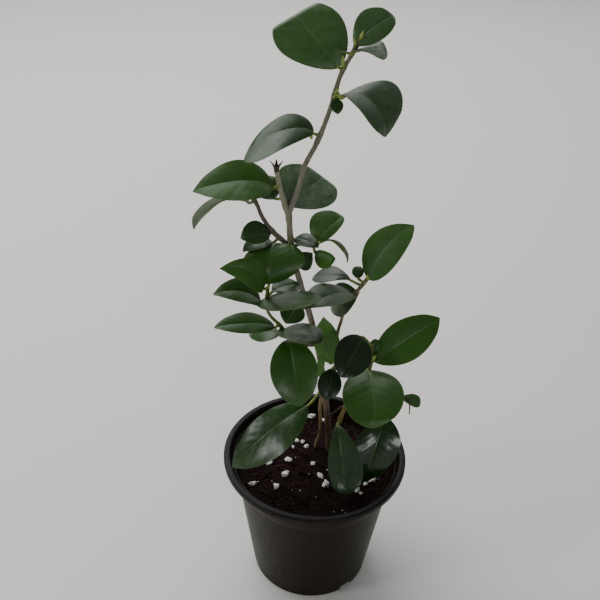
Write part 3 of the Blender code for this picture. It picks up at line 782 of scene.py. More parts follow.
def build_crumbs(settings, material):
    draw = random.Random(settings.seed)
    master = model_master_lump("crumb_master", 1)
    corners = len(master.data.vertices)
    crumbs = []
    for number in range(settings.crumbs):
        x, y = scatter(draw, wall_radius(MIX_LEVEL) - POT_WALL - CRUMB_MARGIN)
        size = CRUMB_SMALLEST + CRUMB_RANGE * draw.random() ** 3
        squash = (draw.uniform(0.7, 1.4), draw.uniform(0.5, 1), draw.uniform(0.4, 0.9))
        place = (x, y, mix_height(x, y) + 0.15 * size)
        crumb = lump(master, "crumb", place, size, squash, draw.uniform(0, math.tau), 0.5, number)
        crumbs.append(crumb)
    bpy.data.objects.remove(master)
    piece = join_pieces("mix_crumbs", crumbs)
    shade = random.Random(settings.seed + 1)
    layer = piece.data.color_attributes.new("dryness", "FLOAT_COLOR", "POINT")
    value = 0
    for vertex in piece.data.vertices:
        if vertex.index % corners == 0:
            value = shade.random() ** 2
        layer.data[vertex.index].color = (value, value, value, 1)
    settle(piece, "potting_mix", material, 60)


def build_fibres(settings, material):
    """Coir fibres: thin, three-sided and gently bent, lying half in the mix."""
    draw = random.Random(settings.seed + 2)
    mesh = bpy.data.meshes.new("coir_fibres")
    bm = bmesh.new()
    middle = (FIBRE_RINGS - 1) / 2
    for _ in range(settings.fibres):
        x, y = scatter(draw, FIBRE_REACH)
        heading = draw.uniform(0, math.tau)
        length = draw.uniform(*FIBRE_LENGTHS)
        rings = []
        for step in range(FIBRE_RINGS):
            z = mix_height(x, y) + 0.5 + 0.5 * math.sin(step * 1.1 + heading)
            # Each end is half as thick as the middle
            thick = FIBRE_RADIUS * (1 - 0.5 * abs(step - middle) / middle)
            ring = []
            for side in range(FIBRE_SIDES):
                angle = math.tau * side / FIBRE_SIDES
                out = Vector((-math.sin(heading), math.cos(heading), 0)) * math.cos(angle)
                point = Vector((x, y, z)) + (out + Vector((0, 0, math.sin(angle)))) * thick
                ring.append(bm.verts.new(point * MM))
            rings.append(ring)
            heading += draw.uniform(-FIBRE_BEND, FIBRE_BEND)
            x += length / (FIBRE_RINGS - 1) * math.cos(heading)
            y += length / (FIBRE_RINGS - 1) * math.sin(heading)
        for a, b in zip(rings, rings[1:]):
            for side in range(FIBRE_SIDES):
                other = (side + 1) % FIBRE_SIDES
                bm.faces.new((a[side], a[other], b[other], b[side]))
        bm.faces.new(reversed(rings[0]))
        bm.faces.new(rings[-1])
    bmesh.ops.recalc_face_normals(bm, faces=bm.faces)
    bm.to_mesh(mesh)
    bm.free()
    piece = bpy.data.objects.new("coir_fibres", mesh)
    bpy.context.scene.collection.objects.link(piece)
    settle(piece, "potting_mix", material)


def build_perlite(material):
    """Puffed granules where the photograph shows them, and a few more round the back."""
    draw = random.Random(PERLITE_SEED)
    granules = list(PERLITE)
    while len(granules) < len(PERLITE) + PERLITE_SPARE:
        x = draw.uniform(-PERLITE_SPREAD, PERLITE_SPREAD)
        y = draw.uniform(0, PERLITE_SPREAD)
        room = min(math.dist((x, y), granule[:2]) for granule in granules)
        if math.hypot(x, y) < PERLITE_SPREAD and room > PERLITE_SPACING:
            granules.append((x, y, draw.choice((2, 3, 4))))
    feet = [points[0][:2] for parent, _, _, points in STEMS.values() if parent is None]
    granules = [granule for granule in granules
                if min(math.dist(granule[:2], foot) for foot in feet) >= PERLITE_STEM_ROOM]
    for _ in range(PERLITE_GRIT):
        granules.append((*scatter(draw, PERLITE_SPREAD), draw.uniform(0.6, 1.3)))
    master = model_master_lump("granule_master", 3)
    lumps = []
    for number, (x, y, size) in enumerate(granules):
        place = (x, y, mix_height(x, y) + size / 5)
        turn = draw.uniform(0, math.tau)
        lumps.append(lump(master, "granule", place, size, (1, 0.82, 0.7), turn, 0.55, number + 5))
        if size >= PERLITE_DOUBLE:
            beside = 0.42 * size
            aside = (x + beside * math.cos(turn), y + beside * math.sin(turn), place[2])
            second = lump(master, "granule", aside, 0.6 * size, (1, 0.9, 0.8), turn, 0.6, number)
            lumps.append(second)
    bpy.data.objects.remove(master)
    piece = join_pieces("perlite_granules", lumps)
    settle(piece, "potting_mix", material, 60)


def coir_potting_mix(settings, name, by_crumb):
    """Damp coir and composted bark: matt, almost black where wet and redder where dry,
    broken into grains of 1 to 2 mm."""
    surface = {"IOR": 1.4, "Roughness": 0.9, "Specular IOR Level": 0.25}
    material, tree, shader = start_material(name, surface)
    place = add_node(tree, "TexCoord").outputs["Object"]
    grains = add_node(tree, "TexVoronoi", {"Scale": 1 / (1.6 * MM)}, {0: place})
    patches = add_node(tree, "TexNoise", {"Scale": 1 / (14 * MM), "Detail": 5}, {0: place})
    if by_crumb:
        dryness = add_node(tree, "Attribute", {"attribute_name": "dryness"}).outputs["Fac"]
    else:
        split = add_node(tree, "SeparateColor", links={0: grains.outputs["Color"]})
        spots = add_node(tree, "MapRange", {1: 0.7, 2: 1.0, 3: 0.0, 4: 0.7}, {0: split.outputs[0]})
        dryness = add_node(tree, "Math", {"operation": "MULTIPLY"}, {0: spots, 1: patches})
    colour = add_node(tree, "Mix",
                      {"data_type": "RGBA", MIX_A: rgba(settings.dark),
                       MIX_B: rgba(settings.light)}, {MIX_FACTOR: dryness})
    fine = add_node(tree, "TexNoise", {"Scale": 1 / (0.8 * MM), "Detail": 4}, {0: place})
    height = add_node(tree, "Math", {"operation": "SUBTRACT"},
                      {0: fine, 1: grains.outputs["Distance"]})
    bump = add_node(tree, "Bump", {"Strength": 0.8, "Distance": 0.6 * MM}, {"Height": height})
    link(tree, shader, {"Base Color": colour, "Normal": bump})
    return material


def coir_fibre():
    """Coconut fibre: wiry, tan to red-brown, slightly glossy along its length."""
    material, tree, shader = start_material("coir_fibre", {"IOR": 1.5, "Roughness": 0.6})
    place = add_node(tree, "TexCoord").outputs["Object"]
    change = add_node(tree, "TexNoise", {"Scale": 1 / (9 * MM)}, {0: place})
    colour = add_node(tree, "ValToRGB",
                      {"stops": [(0.35, "#2B130C"), (0.55, "#4A281A"), (0.75, "#6E4B33")]},
                      {0: change})
    link(tree, shader, {"Base Color": colour})
    return material


def expanded_perlite():
    """Volcanic glass puffed by heat: chalky white, pitted, with a little soil in its pores."""
    material, tree, shader = start_material("expanded_perlite", {"IOR": 1.5, "Roughness": 0.85})
    place = add_node(tree, "TexCoord").outputs["Object"]
    pits = add_node(tree, "TexVoronoi", {"Scale": 1 / (0.7 * MM)}, {0: place})
    soil = add_node(tree, "TexNoise", {"Scale": 1 / (2 * MM), "Detail": 3}, {0: place})
    colour = add_node(tree, "ValToRGB",
                      {"stops": [(0.30, "#D2CBC1"), (0.46, "#F8F6F1"), (0.8, "#FDFCFA")]},
                      {0: soil})
    bump = add_node(tree, "Bump", {"Strength": 0.6, "Distance": 0.3 * MM},
                    {"Height": pits.outputs["Distance"]})
    link(tree, shader, {"Base Color": colour, "Normal": bump})
    return material


class CAMELLIA_OT_build_mix(bpy.types.Operator):
    """Model the potting mix with its crumbs, coir fibres and perlite"""
    bl_idname = "camellia.build_mix"
    bl_label = "Potting mix"

    def execute(self, context):
        settings = context.scene.camellia_mix
        build_mix(settings, coir_potting_mix(settings, "coir_potting_mix", False))
        build_crumbs(settings, coir_potting_mix(settings, "composted_bark_crumbs", True))
        build_fibres(settings, coir_fibre())
        build_perlite(expanded_perlite())
        return {"FINISHED"}


# The stems, buds and dry twigs

class StemSettings(bpy.types.PropertyGroup):
    steps: IntProperty(name="Steps", description="Rings between a stem's points", default=18, min=2)
    relief: size_property("Bark relief", "Depth of the bark's lines and pores", 0.16)
    swelling: size_property("Node swelling", "How far the stem swells where a leaf leaves it", 0.55)
    bud: colour_property("Bud", "Colour of the bud scales", "#8FA24A")


def stem_centre(stem, point):
    """The place on a stem's centre line nearest to a point, and how far along it lies."""
    points = [Vector(p) for p in STEMS[stem][3]]
    target = Vector(point)
    best = (points[0], 0)
    for number, (start, end) in enumerate(zip(points, points[1:])):
        step = end - start
        part = max(0, min(1, (target - start).dot(step) / step.length_squared))
        place = start + step * part
        if (place - target).length < (best[0] - target).length:
            best = (place, (number + part) / (len(points) - 1))
    return best


def node_places(stem):
    """Where leaves, buds and branches leave a stem."""
    places = [stem_centre(stem, row[1])[0] for row in LEAVES.values() if row[0] == stem]
    places += [stem_centre(stem, row[1])[0] for row in BUDS.values() if row[0] == stem]
    places += [Vector(row[3][0]) for row in STEMS.values() if row[0] == stem]
    return places


def distance_to_node(place, nodes):
    return min([(place - node).length for node in nodes] + [NO_NODE])


def build_stem(name, settings):
    """A tapering shoot with swollen nodes and lined, pored bark."""
    _, foot, tip, points = STEMS[name]
    stem = tube(name, points, foot, tip, 3, settings.steps)
    nodes = node_places(name)
    hexes = [Vector(linear(c)) for c in BARK[name]]
    young = Vector(linear(GREEN_BARK))
    moved = []
    for vertex in stem.data.vertices:
        place = vertex.co / MM
        swell = settings.swelling * math.exp(-(distance_to_node(place, nodes) / NODE_REACH) ** 2)
        grain = Vector((place.x / LINE_WIDTH, place.y / LINE_WIDTH, place.z / LINE_LENGTH))
        lined = noise.fractal(grain, 0.7, 2.0, 3)
        spots = Vector((place.x / PORE_WIDTH, place.y / PORE_WIDTH, place.z / PORE_HEIGHT))
        pores = max(0, noise.noise(spots) - 0.3)
        moved.append(vertex.co + vertex.normal * (swell + settings.relief * (lined + 1.5 * pores)))
    for vertex, co in zip(stem.data.vertices, moved):
        vertex.co = co

    def bark_colour(place):
        part = stem_centre(name, place)[1]
        colour = hexes[0].lerp(hexes[1], part)
        near = distance_to_node(place, nodes)
        greener = GREEN_SHARE * math.exp(-(near / GREEN_REACH) ** 2) * part
        return rgba(colour.lerp(young, greener))

    tint(stem, "bark", bark_colour)
    return stem


def build_wood(node, stems, settings, material):
    wood = join_pieces(node.replace("leafy_stem", "stem_wood"),
                       [build_stem(name, settings) for name in stems])
    settle(wood, node, material, 50)


def model_master_bud():
    """A pointed bud one unit long, its scales lapping in two rows."""
    select_only(None)
    bpy.ops.mesh.primitive_uv_sphere_add(segments=24, ring_count=22, radius=0.5)
    bud = name_new("bud_master")
    for vertex in bud.data.vertices:
        # Fullest below its middle, narrow at both ends, and wider at the lip of each scale
        part = vertex.co.z + 0.5
        angle = math.atan2(vertex.co.y, vertex.co.x)
        lap = (3.2 * part + 0.22 * abs(math.sin(angle)) * 2 - 0.5 * (math.cos(angle) > 0)) % 1
        radius = 0.5 * math.sin(math.pi * part ** 0.8) ** 0.75
        radius *= (1 - 0.35 * part) * (1 + 0.10 * lap)
        vertex.co = Vector((radius * math.cos(angle), radius * math.sin(angle), part))
    return bud


def build_buds(node, stems, master, material):
    buds = []
    for name, (stem, foot, tip, length, width) in BUDS.items():
        if stem not in stems:
            continue
        bud = copy_mesh(master, "bud_" + name)
        turn = (Vector(tip) - Vector(foot)).to_track_quat("Z", "Y").to_matrix()
        for vertex in bud.data.vertices:
            size = Vector((vertex.co.x * width, vertex.co.y * width, vertex.co.z * length))
            vertex.co = (Vector(foot) + turn @ size) * MM
        layer = bud.data.color_attributes.new("bud_part", "FLOAT_COLOR", "POINT")
        for vertex, value in zip(master.data.vertices, layer.data):
            value.color = (vertex.co.z, vertex.co.z, vertex.co.z, 1)
        buds.append(bud)
    if not buds:
        return
    piece = join_pieces(node.replace("leafy_stem", "stem_buds"), buds)
    settle(piece, node, material, 40)


def build_dry_twigs(material):
    """Short dead twigs and old leaf stalks low in the plant."""
    twigs = [tube("dry_twig", points, radius, radius * 0.5, 2, 6) for points, radius in DRY_TWIGS]
    piece = join_pieces("dry_twigs", twigs)
    settle(piece, "low_leafy_stem", material, 50)


def camellia_bark():
    """Young camellia bark: smooth and grey-brown, with fine upright lines and pale pores."""
    surface = {"IOR": 1.45, "Roughness": 0.68, "Specular IOR Level": 0.35}
    material, tree, shader = start_material("camellia_bark", surface)
    place = add_node(tree, "TexCoord").outputs["Object"]
    own = add_node(tree, "Attribute", {"attribute_name": "bark"}).outputs["Color"]
    # Lines 0.9 mm apart and 10 mm long
    upright = add_node(tree, "Mapping", {"Scale": (1, 1, 0.09)}, {0: place})
    lines = add_node(tree, "TexNoise", {"Scale": 1 / (0.9 * MM), "Detail": 4}, {0: upright})
    lined = add_node(tree, "MapRange", {1: 0.35, 2: 0.7, 3: 0.0, 4: 1.0}, {0: lines})
    darker = add_node(tree, "Mix",
                      {"data_type": "RGBA", "blend_type": "MULTIPLY", MIX_FACTOR: 1.0,
                       MIX_B: (0.62, 0.58, 0.54, 1)}, {MIX_A: own})
    striped = add_node(tree, "Mix", {"data_type": "RGBA"},
                       {MIX_FACTOR: lined, MIX_A: darker, MIX_B: own})
    # Pores about 2 mm apart and under a millimetre across
    pores = add_node(tree, "TexVoronoi", {"Scale": 1 / (2.2 * MM)}, {0: place})
    pore = add_node(tree, "MapRange", {1: 0.12, 2: 0.2, 3: 0.55, 4: 0.0},
                    {0: pores.outputs["Distance"]})
    colour = add_node(tree, "Mix", {"data_type": "RGBA", MIX_B: rgba(linear("#B4A68C"))},
                      {MIX_FACTOR: pore, MIX_A: striped})
    height = add_node(tree, "Math", {"operation": "ADD"}, {0: lined, 1: pore})
    bump = add_node(tree, "Bump", {"Strength": 0.5, "Distance": 0.25 * MM}, {"Height": height})
    link(tree, shader, {"Base Color": colour, "Normal": bump})
    return material


def camellia_bud_scales(settings):
    """Leathery bud scales: yellow-green, browner and drier towards the foot."""
    material, tree, shader = start_material("camellia_bud_scales", {"IOR": 1.45, "Roughness": 0.45})
    part = add_node(tree, "Attribute", {"attribute_name": "bud_part"}).outputs["Fac"]
    foot = add_node(tree, "MapRange", {1: 0.0, 2: 0.45, 3: 0.7, 4: 0.0}, {0: part})
    colour = add_node(tree, "Mix",
                      {"data_type": "RGBA", MIX_A: rgba(settings.bud),
                       MIX_B: rgba(linear("#4F4524"))}, {MIX_FACTOR: foot})
    link(tree, shader, {"Base Color": colour})
    return material


def dry_bud_husk():
    """Dead bud scales and dry stalks: papery dark brown with a paler, frayed grain. The
    twigs and the stub's husk share it."""
    if "dry_bud_husk" in bpy.data.materials:
        return bpy.data.materials["dry_bud_husk"]
    material, tree, shader = start_material("dry_bud_husk", {"IOR": 1.45, "Roughness": 0.8})
    place = add_node(tree, "TexCoord").outputs["Object"]
    grain = add_node(tree, "TexNoise", {"Scale": 1 / (1.2 * MM), "Detail": 4}, {0: place})
    colour = add_node(tree, "ValToRGB",
                      {"stops": [(0.35, "#2A2019"), (0.6, "#57473A"), (0.8, "#8A7660")]},
                      {0: grain})
    link(tree, shader, {"Base Color": colour})
    return material


class CAMELLIA_OT_build_stems(bpy.types.Operator):
    """Model the woody stems with their bark, swollen nodes, buds and dry twigs"""
    bl_idname = "camellia.build_stems"
    bl_label = "Stems and buds"

    def execute(self, context):
        settings = context.scene.camellia_stems
        bark = camellia_bark()
        scales = camellia_bud_scales(settings)
        master = model_master_bud()
        for node, stems in LEAFY_STEMS.items():
            build_wood(node, stems, settings, bark)
            build_buds(node, stems, master, scales)
        bpy.data.objects.remove(master)
        build_dry_twigs(dry_bud_husk())
        return {"FINISHED"}


# The leaves

class LeafSettings(bpy.types.PropertyGroup):
    thickness: size_property("Thickness", "Thickness of the blade", 0.55)
    petiole: size_property("Stalk radius", "Radius of the leaf stalk", 1.0)
    mature: colour_property("Mature leaf", "Upper face of a hard, dark leaf", "#0E2A06")
    young: colour_property("Young leaf", "Upper face of a soft, young leaf", "#3E710F")
    vein: colour_property("Vein", "Midrib and side veins", "#567038")
    underside: colour_property("Underside", "Lower face of the leaf", "#4A6332")
    rim: colour_property("Rim", "Cut edge of the blade", "#4E5E2E")


def leaf_outline(part, widest=USUAL_FORM[0], fullness=USUAL_FORM[1]):
    """Half the width of a camellia leaf, from 0 at its base to 0 at its short point."""
    rounded = max(0, math.sin(math.pi * part ** (math.log(0.5) / math.log(widest)))) ** fullness
    pointed = 1 - max(0, part - POINT_START) * POINT_TAPER
    return max(rounded * pointed, BLADE_END)


class Leaf:
    """The middle surface of one leaf, as a formula of the way along and across it."""

    def __init__(self, name):
        stem, base, tip, width, front, right, arch, fold, turn, curl = LEAVES[name]
        self.name = name
        self.stem = stem
        self.base = Vector(base)
        self.tip = Vector(tip)
        self.half = width / 2
        self.arch = arch
        self.fold = math.radians(fold)
        self.turn = math.radians(turn)
        self.curl = curl
        form = LEAF_FORMS.get(name, USUAL_FORM)
        self.widest, self.fullness, self.sweep, self.skew, self.slip = form
        self.axis = (self.tip - self.base).normalized()
        lean = math.radians(front)
        sway = math.radians(right)
        up = Vector((math.cos(lean) * math.sin(sway), -math.sin(lean),
                     math.cos(lean) * math.cos(sway)))
        self.up = (up - self.axis * up.dot(self.axis)).normalized()
        self.side = self.axis.cross(self.up)

    def place(self, part, across, raised=0):
        """A point of the leaf: part runs from base to tip, across from -1 to 1."""
        bend = self.turn * (part - 0.5)
        side = self.side * math.cos(bend) + self.up * math.sin(bend)
        up = self.up * math.cos(bend) - self.side * math.sin(bend)
        crest = part ** ARCH_SKEW
        # Only the last fifth of the blade curls back
        curled = self.curl * max(0, part * 5 - 4) ** 2
        rise = self.arch * 4 * crest * (1 - crest) - curled
        bow = self.sweep * 4 * part * (1 - part)
        middle = self.base.lerp(self.tip, part) + self.up * rise + self.side * bow
        half = self.half * leaf_outline(part, self.widest, self.fullness)
        half *= 1 + self.skew * across
        middle += self.axis * (self.slip * half * across - CURL_PULL * curled)
        lift = abs(across) * math.sin(self.fold) - across ** 2 * BLADE_SAG
        wave = WAVE_HEIGHT * self.half * across ** 2
        wave *= math.sin(WAVE_ALONG * part + WAVE_ACROSS * across)
        # The blade is puffed up a little between its side veins
        veins = VEIN_PAIRS * (part - VEIN_SLANT * abs(across))
        puffed = VEIN_PUFF * self.half * math.sin(math.pi * veins) ** 2
        puffed *= math.sin(math.pi * abs(across))
        height = half * lift + wave + puffed + raised
        return middle + side * half * across * math.cos(self.fold) + up * height


def model_master_blade():
    """A flat blade, one long and from -1 to 1 across, toothed and grooved; z in mm."""
    lines = len(BLADE_COLUMNS) - 1
    select_only(None)
    bpy.ops.mesh.primitive_grid_add(x_subdivisions=BLADE_STATIONS, y_subdivisions=2 * lines,
                                    size=2, location=(1, 0, 0))
    blade = name_new("blade_master")
    place_origin(blade)
    edit(blade)
    for number, line in enumerate(BLADE_COLUMNS[1:-1], 1):
        even = number / lines
        for way in (-1, 1):
            pick(blade, lambda co: abs(co.y - way * even) < 0.01)
            bpy.ops.transform.translate(value=(0, way * (line - even), 0))
    bpy.ops.mesh.select_all(action="SELECT")
    bpy.ops.mesh.subdivide(number_cuts=1)
    bpy.ops.transform.resize(value=(0.5, 1, 1), center_override=(0, 0, 0))
    end_edit()
    layer = blade.data.uv_layers[0]
    layer.name = "blade"
    for loop, corner in zip(blade.data.loops, layer.data):
        co = blade.data.vertices[loop.vertex_index].co
        corner.uv = (co.x, co.y / 2 + 0.5)
    edit(blade)
    pick(blade, lambda co: abs(co.y) < 0.01)
    bpy.ops.transform.translate(value=(0, 0, -GROOVE_DEPTH))
    stations = 2 * BLADE_STATIONS
    for station in range(stations + 1):
        part = station / stations
        if station % 2:
            pick(blade, lambda co: abs(co.x - part) < 0.001 and abs(co.y) > 0.99)
            notch = 1 - TEETH_DEPTH
            bpy.ops.transform.resize(value=(1, notch, 1), center_override=(part, 0, 0))
        pick(blade, lambda co: abs(co.x - part) < 0.001)
        width = leaf_outline(part)
        bpy.ops.transform.resize(value=(1, width, 1), center_override=(part, 0, 0))
    # A leaf's own directions are left-handed, so the master's upper face points down
    bpy.ops.mesh.select_all(action="SELECT")
    bpy.ops.mesh.flip_normals()
    end_edit()
    return blade


def build_blade(leaf, master, settings, materials):
    """Bend a copy of the master blade to its leaf, then give it its thickness."""
    blade = copy_mesh(master, "leaf_" + leaf.name)
    for vertex in blade.data.vertices:
        part = min(1, max(0, vertex.co.x))
        across = vertex.co.y / leaf_outline(part)
        # The groove is shallower towards both ends
        fade = math.sin(math.pi * (0.1 + 0.8 * part))
        vertex.co = leaf.place(part, across, vertex.co.z * fade) * MM
    wear(blade, *materials)
    thicken(blade, settings.thickness, far_side=1, rim=2)
    return blade


def build_stalk(leaf, settings):
    """The leaf's stalk, from the stem's heart into the blade and on as its midrib below."""
    root = stem_centre(leaf.stem, leaf.base)[0]
    thin = settings.petiole / MM
    radius = thin * THICK_STALKS.get(leaf.name, 1)
    below = [leaf.place(part, 0, MIDRIB_DROP) for part in MIDRIB_STATIONS]
    points = [root, leaf.base, below[0]]
    if (leaf.base - root).length < 1:
        points = [root, below[0]]
    stalk = tube("stalk", points, radius * STALK_TAPER[0], radius * STALK_TAPER[1], 2, 5)
    midrib = tube("midrib", below, thin * MIDRIB_TAPER[0], thin * MIDRIB_TAPER[1], 1, 6)
    return [stalk, midrib]


def build_leaf(name, node, master, settings, materials):
    leaf = Leaf(name)
    blade = build_blade(leaf, master, settings, materials)
    look = LEAF_LOOKS.get(name, USUAL_LOOK)
    tint(blade, "leaf_look", lambda place: rgba(look))
    stalks = build_stalk(leaf, settings)
    for stalk in stalks:
        wear(stalk, materials[3])
    piece = join_pieces("leaf_" + name, [blade] + stalks)
    settle(piece, node, angle=50)


def build_husk(master, material):
    """The dry, open bud scales that top the cut stub."""
    top = Vector(STEMS["stub"][3][-1])
    scales = []
    for number in range(HUSK_SCALES):
        angle = math.tau * number / HUSK_SCALES + HUSK_TURN
        out = Vector((math.cos(angle), math.sin(angle), 0))
        scale = copy_mesh(master, "husk_scale")
        foot = top - Vector((0, 0, HUSK_DEPTH))
        side = Vector((-out.y, out.x, 0))
        for vertex in scale.data.vertices:
            part = vertex.co.x
            across = vertex.co.y
            reach = HUSK_RADIUS + HUSK_OPENING * part ** 2
            width = HUSK_HALF_WIDTH * (1 - 0.75 * part)
            rise = HUSK_HEIGHT * part * (1 - 0.15 * part)
            cup = -HUSK_CUP * across * across
            place = foot + out * (reach + cup) + side * width * across + Vector((0, 0, rise))
            vertex.co = place * MM
        thicken(scale, HUSK_THICKNESS * MM)
        scales.append(scale)
    piece = join_pieces("stub_husk", scales)
    settle(piece, "main_leafy_stem", material, 50)


def vein_masks(tree):
    """The midrib, the side veins and how far out on the blade a point lies, from the UV map."""
    uv = add_node(tree, "UVMap", {"uv_map": "blade"})
    parts = add_node(tree, "SeparateXYZ", links={0: uv})
    signed = add_node(tree, "Math", {"operation": "MULTIPLY_ADD", 1: 2.0, 2: -1.0},
                      {0: parts.outputs["Y"]})
    across = add_node(tree, "Math", {"operation": "ABSOLUTE"}, {0: signed})
    midrib = add_node(tree, "MapRange",
                      {"interpolation_type": "SMOOTHSTEP", 1: 0.008, 2: 0.04, 3: 1.0, 4: 0.0},
                      {0: across})
    slant = add_node(tree, "Math", {"operation": "MULTIPLY_ADD", 1: -VEIN_SLANT},
                     {0: across, 2: parts.outputs["X"]})
    ranks = add_node(tree, "Math", {"operation": "MULTIPLY", 1: float(VEIN_PAIRS)}, {0: slant})
    rank = add_node(tree, "Math", {"operation": "PINGPONG", 1: 0.5}, {0: ranks})
    line = add_node(tree, "MapRange",
                    {"interpolation_type": "SMOOTHSTEP", 1: 0.0, 2: 0.09, 3: 1.0, 4: 0.0},
                    {0: rank})
    fade = add_node(tree, "MapRange", {1: 0.55, 2: 0.92, 3: 1.0, 4: 0.0}, {0: across})
    side = add_node(tree, "Math", {"operation": "MULTIPLY"}, {0: line, 1: fade})
    return midrib, side, across


def camellia_leaf_upper(settings):
    """The upper face: leathery and waxed, deep green, with a pale sunken midrib, faint
    side veins, a thin pale margin, a film of dust and dried water on some leaves that also
    carries a painted grey sheen, and a darkening that is partly painted shade."""
    material, tree, shader = start_material("camellia_leaf_upper", {"IOR": 1.45, "Roughness": 0.34})
    midrib, veins, across = vein_masks(tree)
    place = add_node(tree, "TexCoord").outputs["Object"]
    look = add_node(tree, "Attribute", {"attribute_name": "leaf_look"})
    looks = add_node(tree, "SeparateColor", links={0: look.outputs["Color"]})
    # Lighter and darker clouds about 15 mm across
    clouds = add_node(tree, "TexNoise", {"Scale": 1 / (15 * MM), "Detail": 3}, {0: place})
    cloudy = add_node(tree, "MapRange", {1: 0.3, 2: 0.7, 3: -0.08, 4: 0.1}, {0: clouds})
    youth = add_node(tree, "Math", {"operation": "ADD", "use_clamp": True},
                     {0: looks.outputs[0], 1: cloudy})
    green = add_node(tree, "Mix",
                     {"data_type": "RGBA", MIX_A: rgba(settings.mature),
                      MIX_B: rgba(settings.young)}, {MIX_FACTOR: youth})
    # Darker for a mature, polished face, and partly painted shade for leaves shaded by those above
    deep = add_node(tree, "Mix",
                    {"data_type": "RGBA", "blend_type": "MULTIPLY", MIX_B: (0.3, 0.42, 0.3, 1)},
                    {MIX_FACTOR: looks.outputs[2], MIX_A: green})
    vein_share = add_node(tree, "Math", {"operation": "MULTIPLY", 1: 0.05}, {0: veins})
    rib_share = add_node(tree, "Math", {"operation": "MULTIPLY", 1: 0.42}, {0: midrib})
    margin = add_node(tree, "MapRange", {1: 0.96, 2: 1.0, 3: 0.0, 4: 0.25}, {0: across})
    pale = add_node(tree, "Math", {"operation": "MAXIMUM"}, {0: vein_share, 1: rib_share})
    paler = add_node(tree, "Math", {"operation": "MAXIMUM"}, {0: pale, 1: margin})
    veined = add_node(tree, "Mix", {"data_type": "RGBA", MIX_B: rgba(settings.vein)},
                      {MIX_FACTOR: paler, MIX_A: deep})
    # Dust and dried water lie in flecks of 6 mm and less; the flecks also carry a painted grey
    # sheen where a leaf mirrors its bright surroundings
    film = add_node(tree, "TexNoise", {"Scale": 1 / (6 * MM), "Detail": 6, "Roughness": 0.7},
                    {0: place})
    dust_and_sheen_flecks = add_node(tree, "MapRange", {1: 0.3, 2: 0.7, 3: 0.01, 4: 0.09}, {0: film})
    dust_and_sheen = add_node(tree, "Math", {"operation": "MULTIPLY"}, {0: dust_and_sheen_flecks, 1: looks.outputs[1]})
    dust_and_sheen_mixed = add_node(tree, "Mix", {"data_type": "RGBA", MIX_B: rgba(linear("#A9B3AA"))},
                      {MIX_FACTOR: dust_and_sheen, MIX_A: veined})
    rough = add_node(tree, "MapRange", {1: 0.3, 2: 0.75, 3: 0.34, 4: 0.48}, {0: film})
    polished = add_node(tree, "Math", {"operation": "MULTIPLY_ADD", 1: -0.18},
                        {0: looks.outputs[2], 2: rough})
    # The net of small veins has meshes of about 1.8 mm
    net = add_node(tree, "TexVoronoi", {"feature": "DISTANCE_TO_EDGE", "Scale": 1 / (1.8 * MM)},
                   {0: place})
    meshes = add_node(tree, "MapRange", {1: 0.0, 2: 0.12, 3: 0.0, 4: 0.22},
                      {0: net.outputs["Distance"]})
    sunk = add_node(tree, "Math", {"operation": "SUBTRACT"}, {0: meshes, 1: veins})
    # The blade buckles softly over lengths of about 12 mm
    buckles = add_node(tree, "TexNoise", {"Scale": 1 / (12 * MM), "Detail": 1}, {0: place})
    buckled = add_node(tree, "Bump", {"Strength": 0.45, "Distance": 1.2 * MM}, {"Height": buckles})
    bump = add_node(tree, "Bump", {"Strength": 0.08, "Distance": 0.3 * MM},
                    {"Height": sunk, "Normal": buckled})
    link(tree, shader, {"Base Color": dust_and_sheen_mixed, "Roughness": polished, "Normal": bump})
    return material


def camellia_leaf_underside(settings):
    """The lower face: paler, matt and yellower, with its veins standing proud."""
    material, tree, shader = start_material("camellia_leaf_underside",
                                            {"IOR": 1.4, "Roughness": 0.6})
    _, veins, _ = vein_masks(tree)
    share = add_node(tree, "Math", {"operation": "MULTIPLY", 1: 0.15}, {0: veins})
    colour = add_node(tree, "Mix",
                      {"data_type": "RGBA", MIX_A: rgba(settings.underside),
                       MIX_B: rgba(linear("#8FA468"))}, {MIX_FACTOR: share})
    look = add_node(tree, "Attribute", {"attribute_name": "leaf_look"})
    looks = add_node(tree, "SeparateColor", links={0: look.outputs["Color"]})
    # Dust and a painted grey sheen grey the whole face evenly
    dust_and_sheen = add_node(tree, "Math", {"operation": "MULTIPLY", 1: 0.3, "use_clamp": True},
                     {0: looks.outputs[1]})
    dust_and_sheen_mixed = add_node(tree, "Mix", {"data_type": "RGBA", MIX_B: rgba(linear("#A9B3AA"))},
                      {MIX_FACTOR: dust_and_sheen, MIX_A: colour})
    bump = add_node(tree, "Bump", {"Strength": 0.6, "Distance": 0.3 * MM}, {"Height": veins})
    link(tree, shader, {"Base Color": dust_and_sheen_mixed, "Normal": bump})
    return material


def camellia_leaf_rim(settings):
    """The blade's cut edge: a thin, hard, pale olive line."""
    material, _, shader = start_material("camellia_leaf_rim", {"IOR": 1.45, "Roughness": 0.5})
    shader.inputs["Base Color"].default_value = rgba(settings.rim)
    return material


def camellia_stalk():
    """The leaf stalk: smooth and green-yellow, browner in streaks."""
    material, tree, shader = start_material("camellia_stalk", {"IOR": 1.45, "Roughness": 0.45})
    place = add_node(tree, "TexCoord").outputs["Object"]
    streaks = add_node(tree, "TexNoise", {"Scale": 1 / (3 * MM), "Detail": 3}, {0: place})
    colour = add_node(tree, "ValToRGB",
                      {"stops": [(0.35, "#56602A"), (0.55, "#7A8A34"), (0.75, "#9AAC4C")]},
                      {0: streaks})
    link(tree, shader, {"Base Color": colour})
    return material


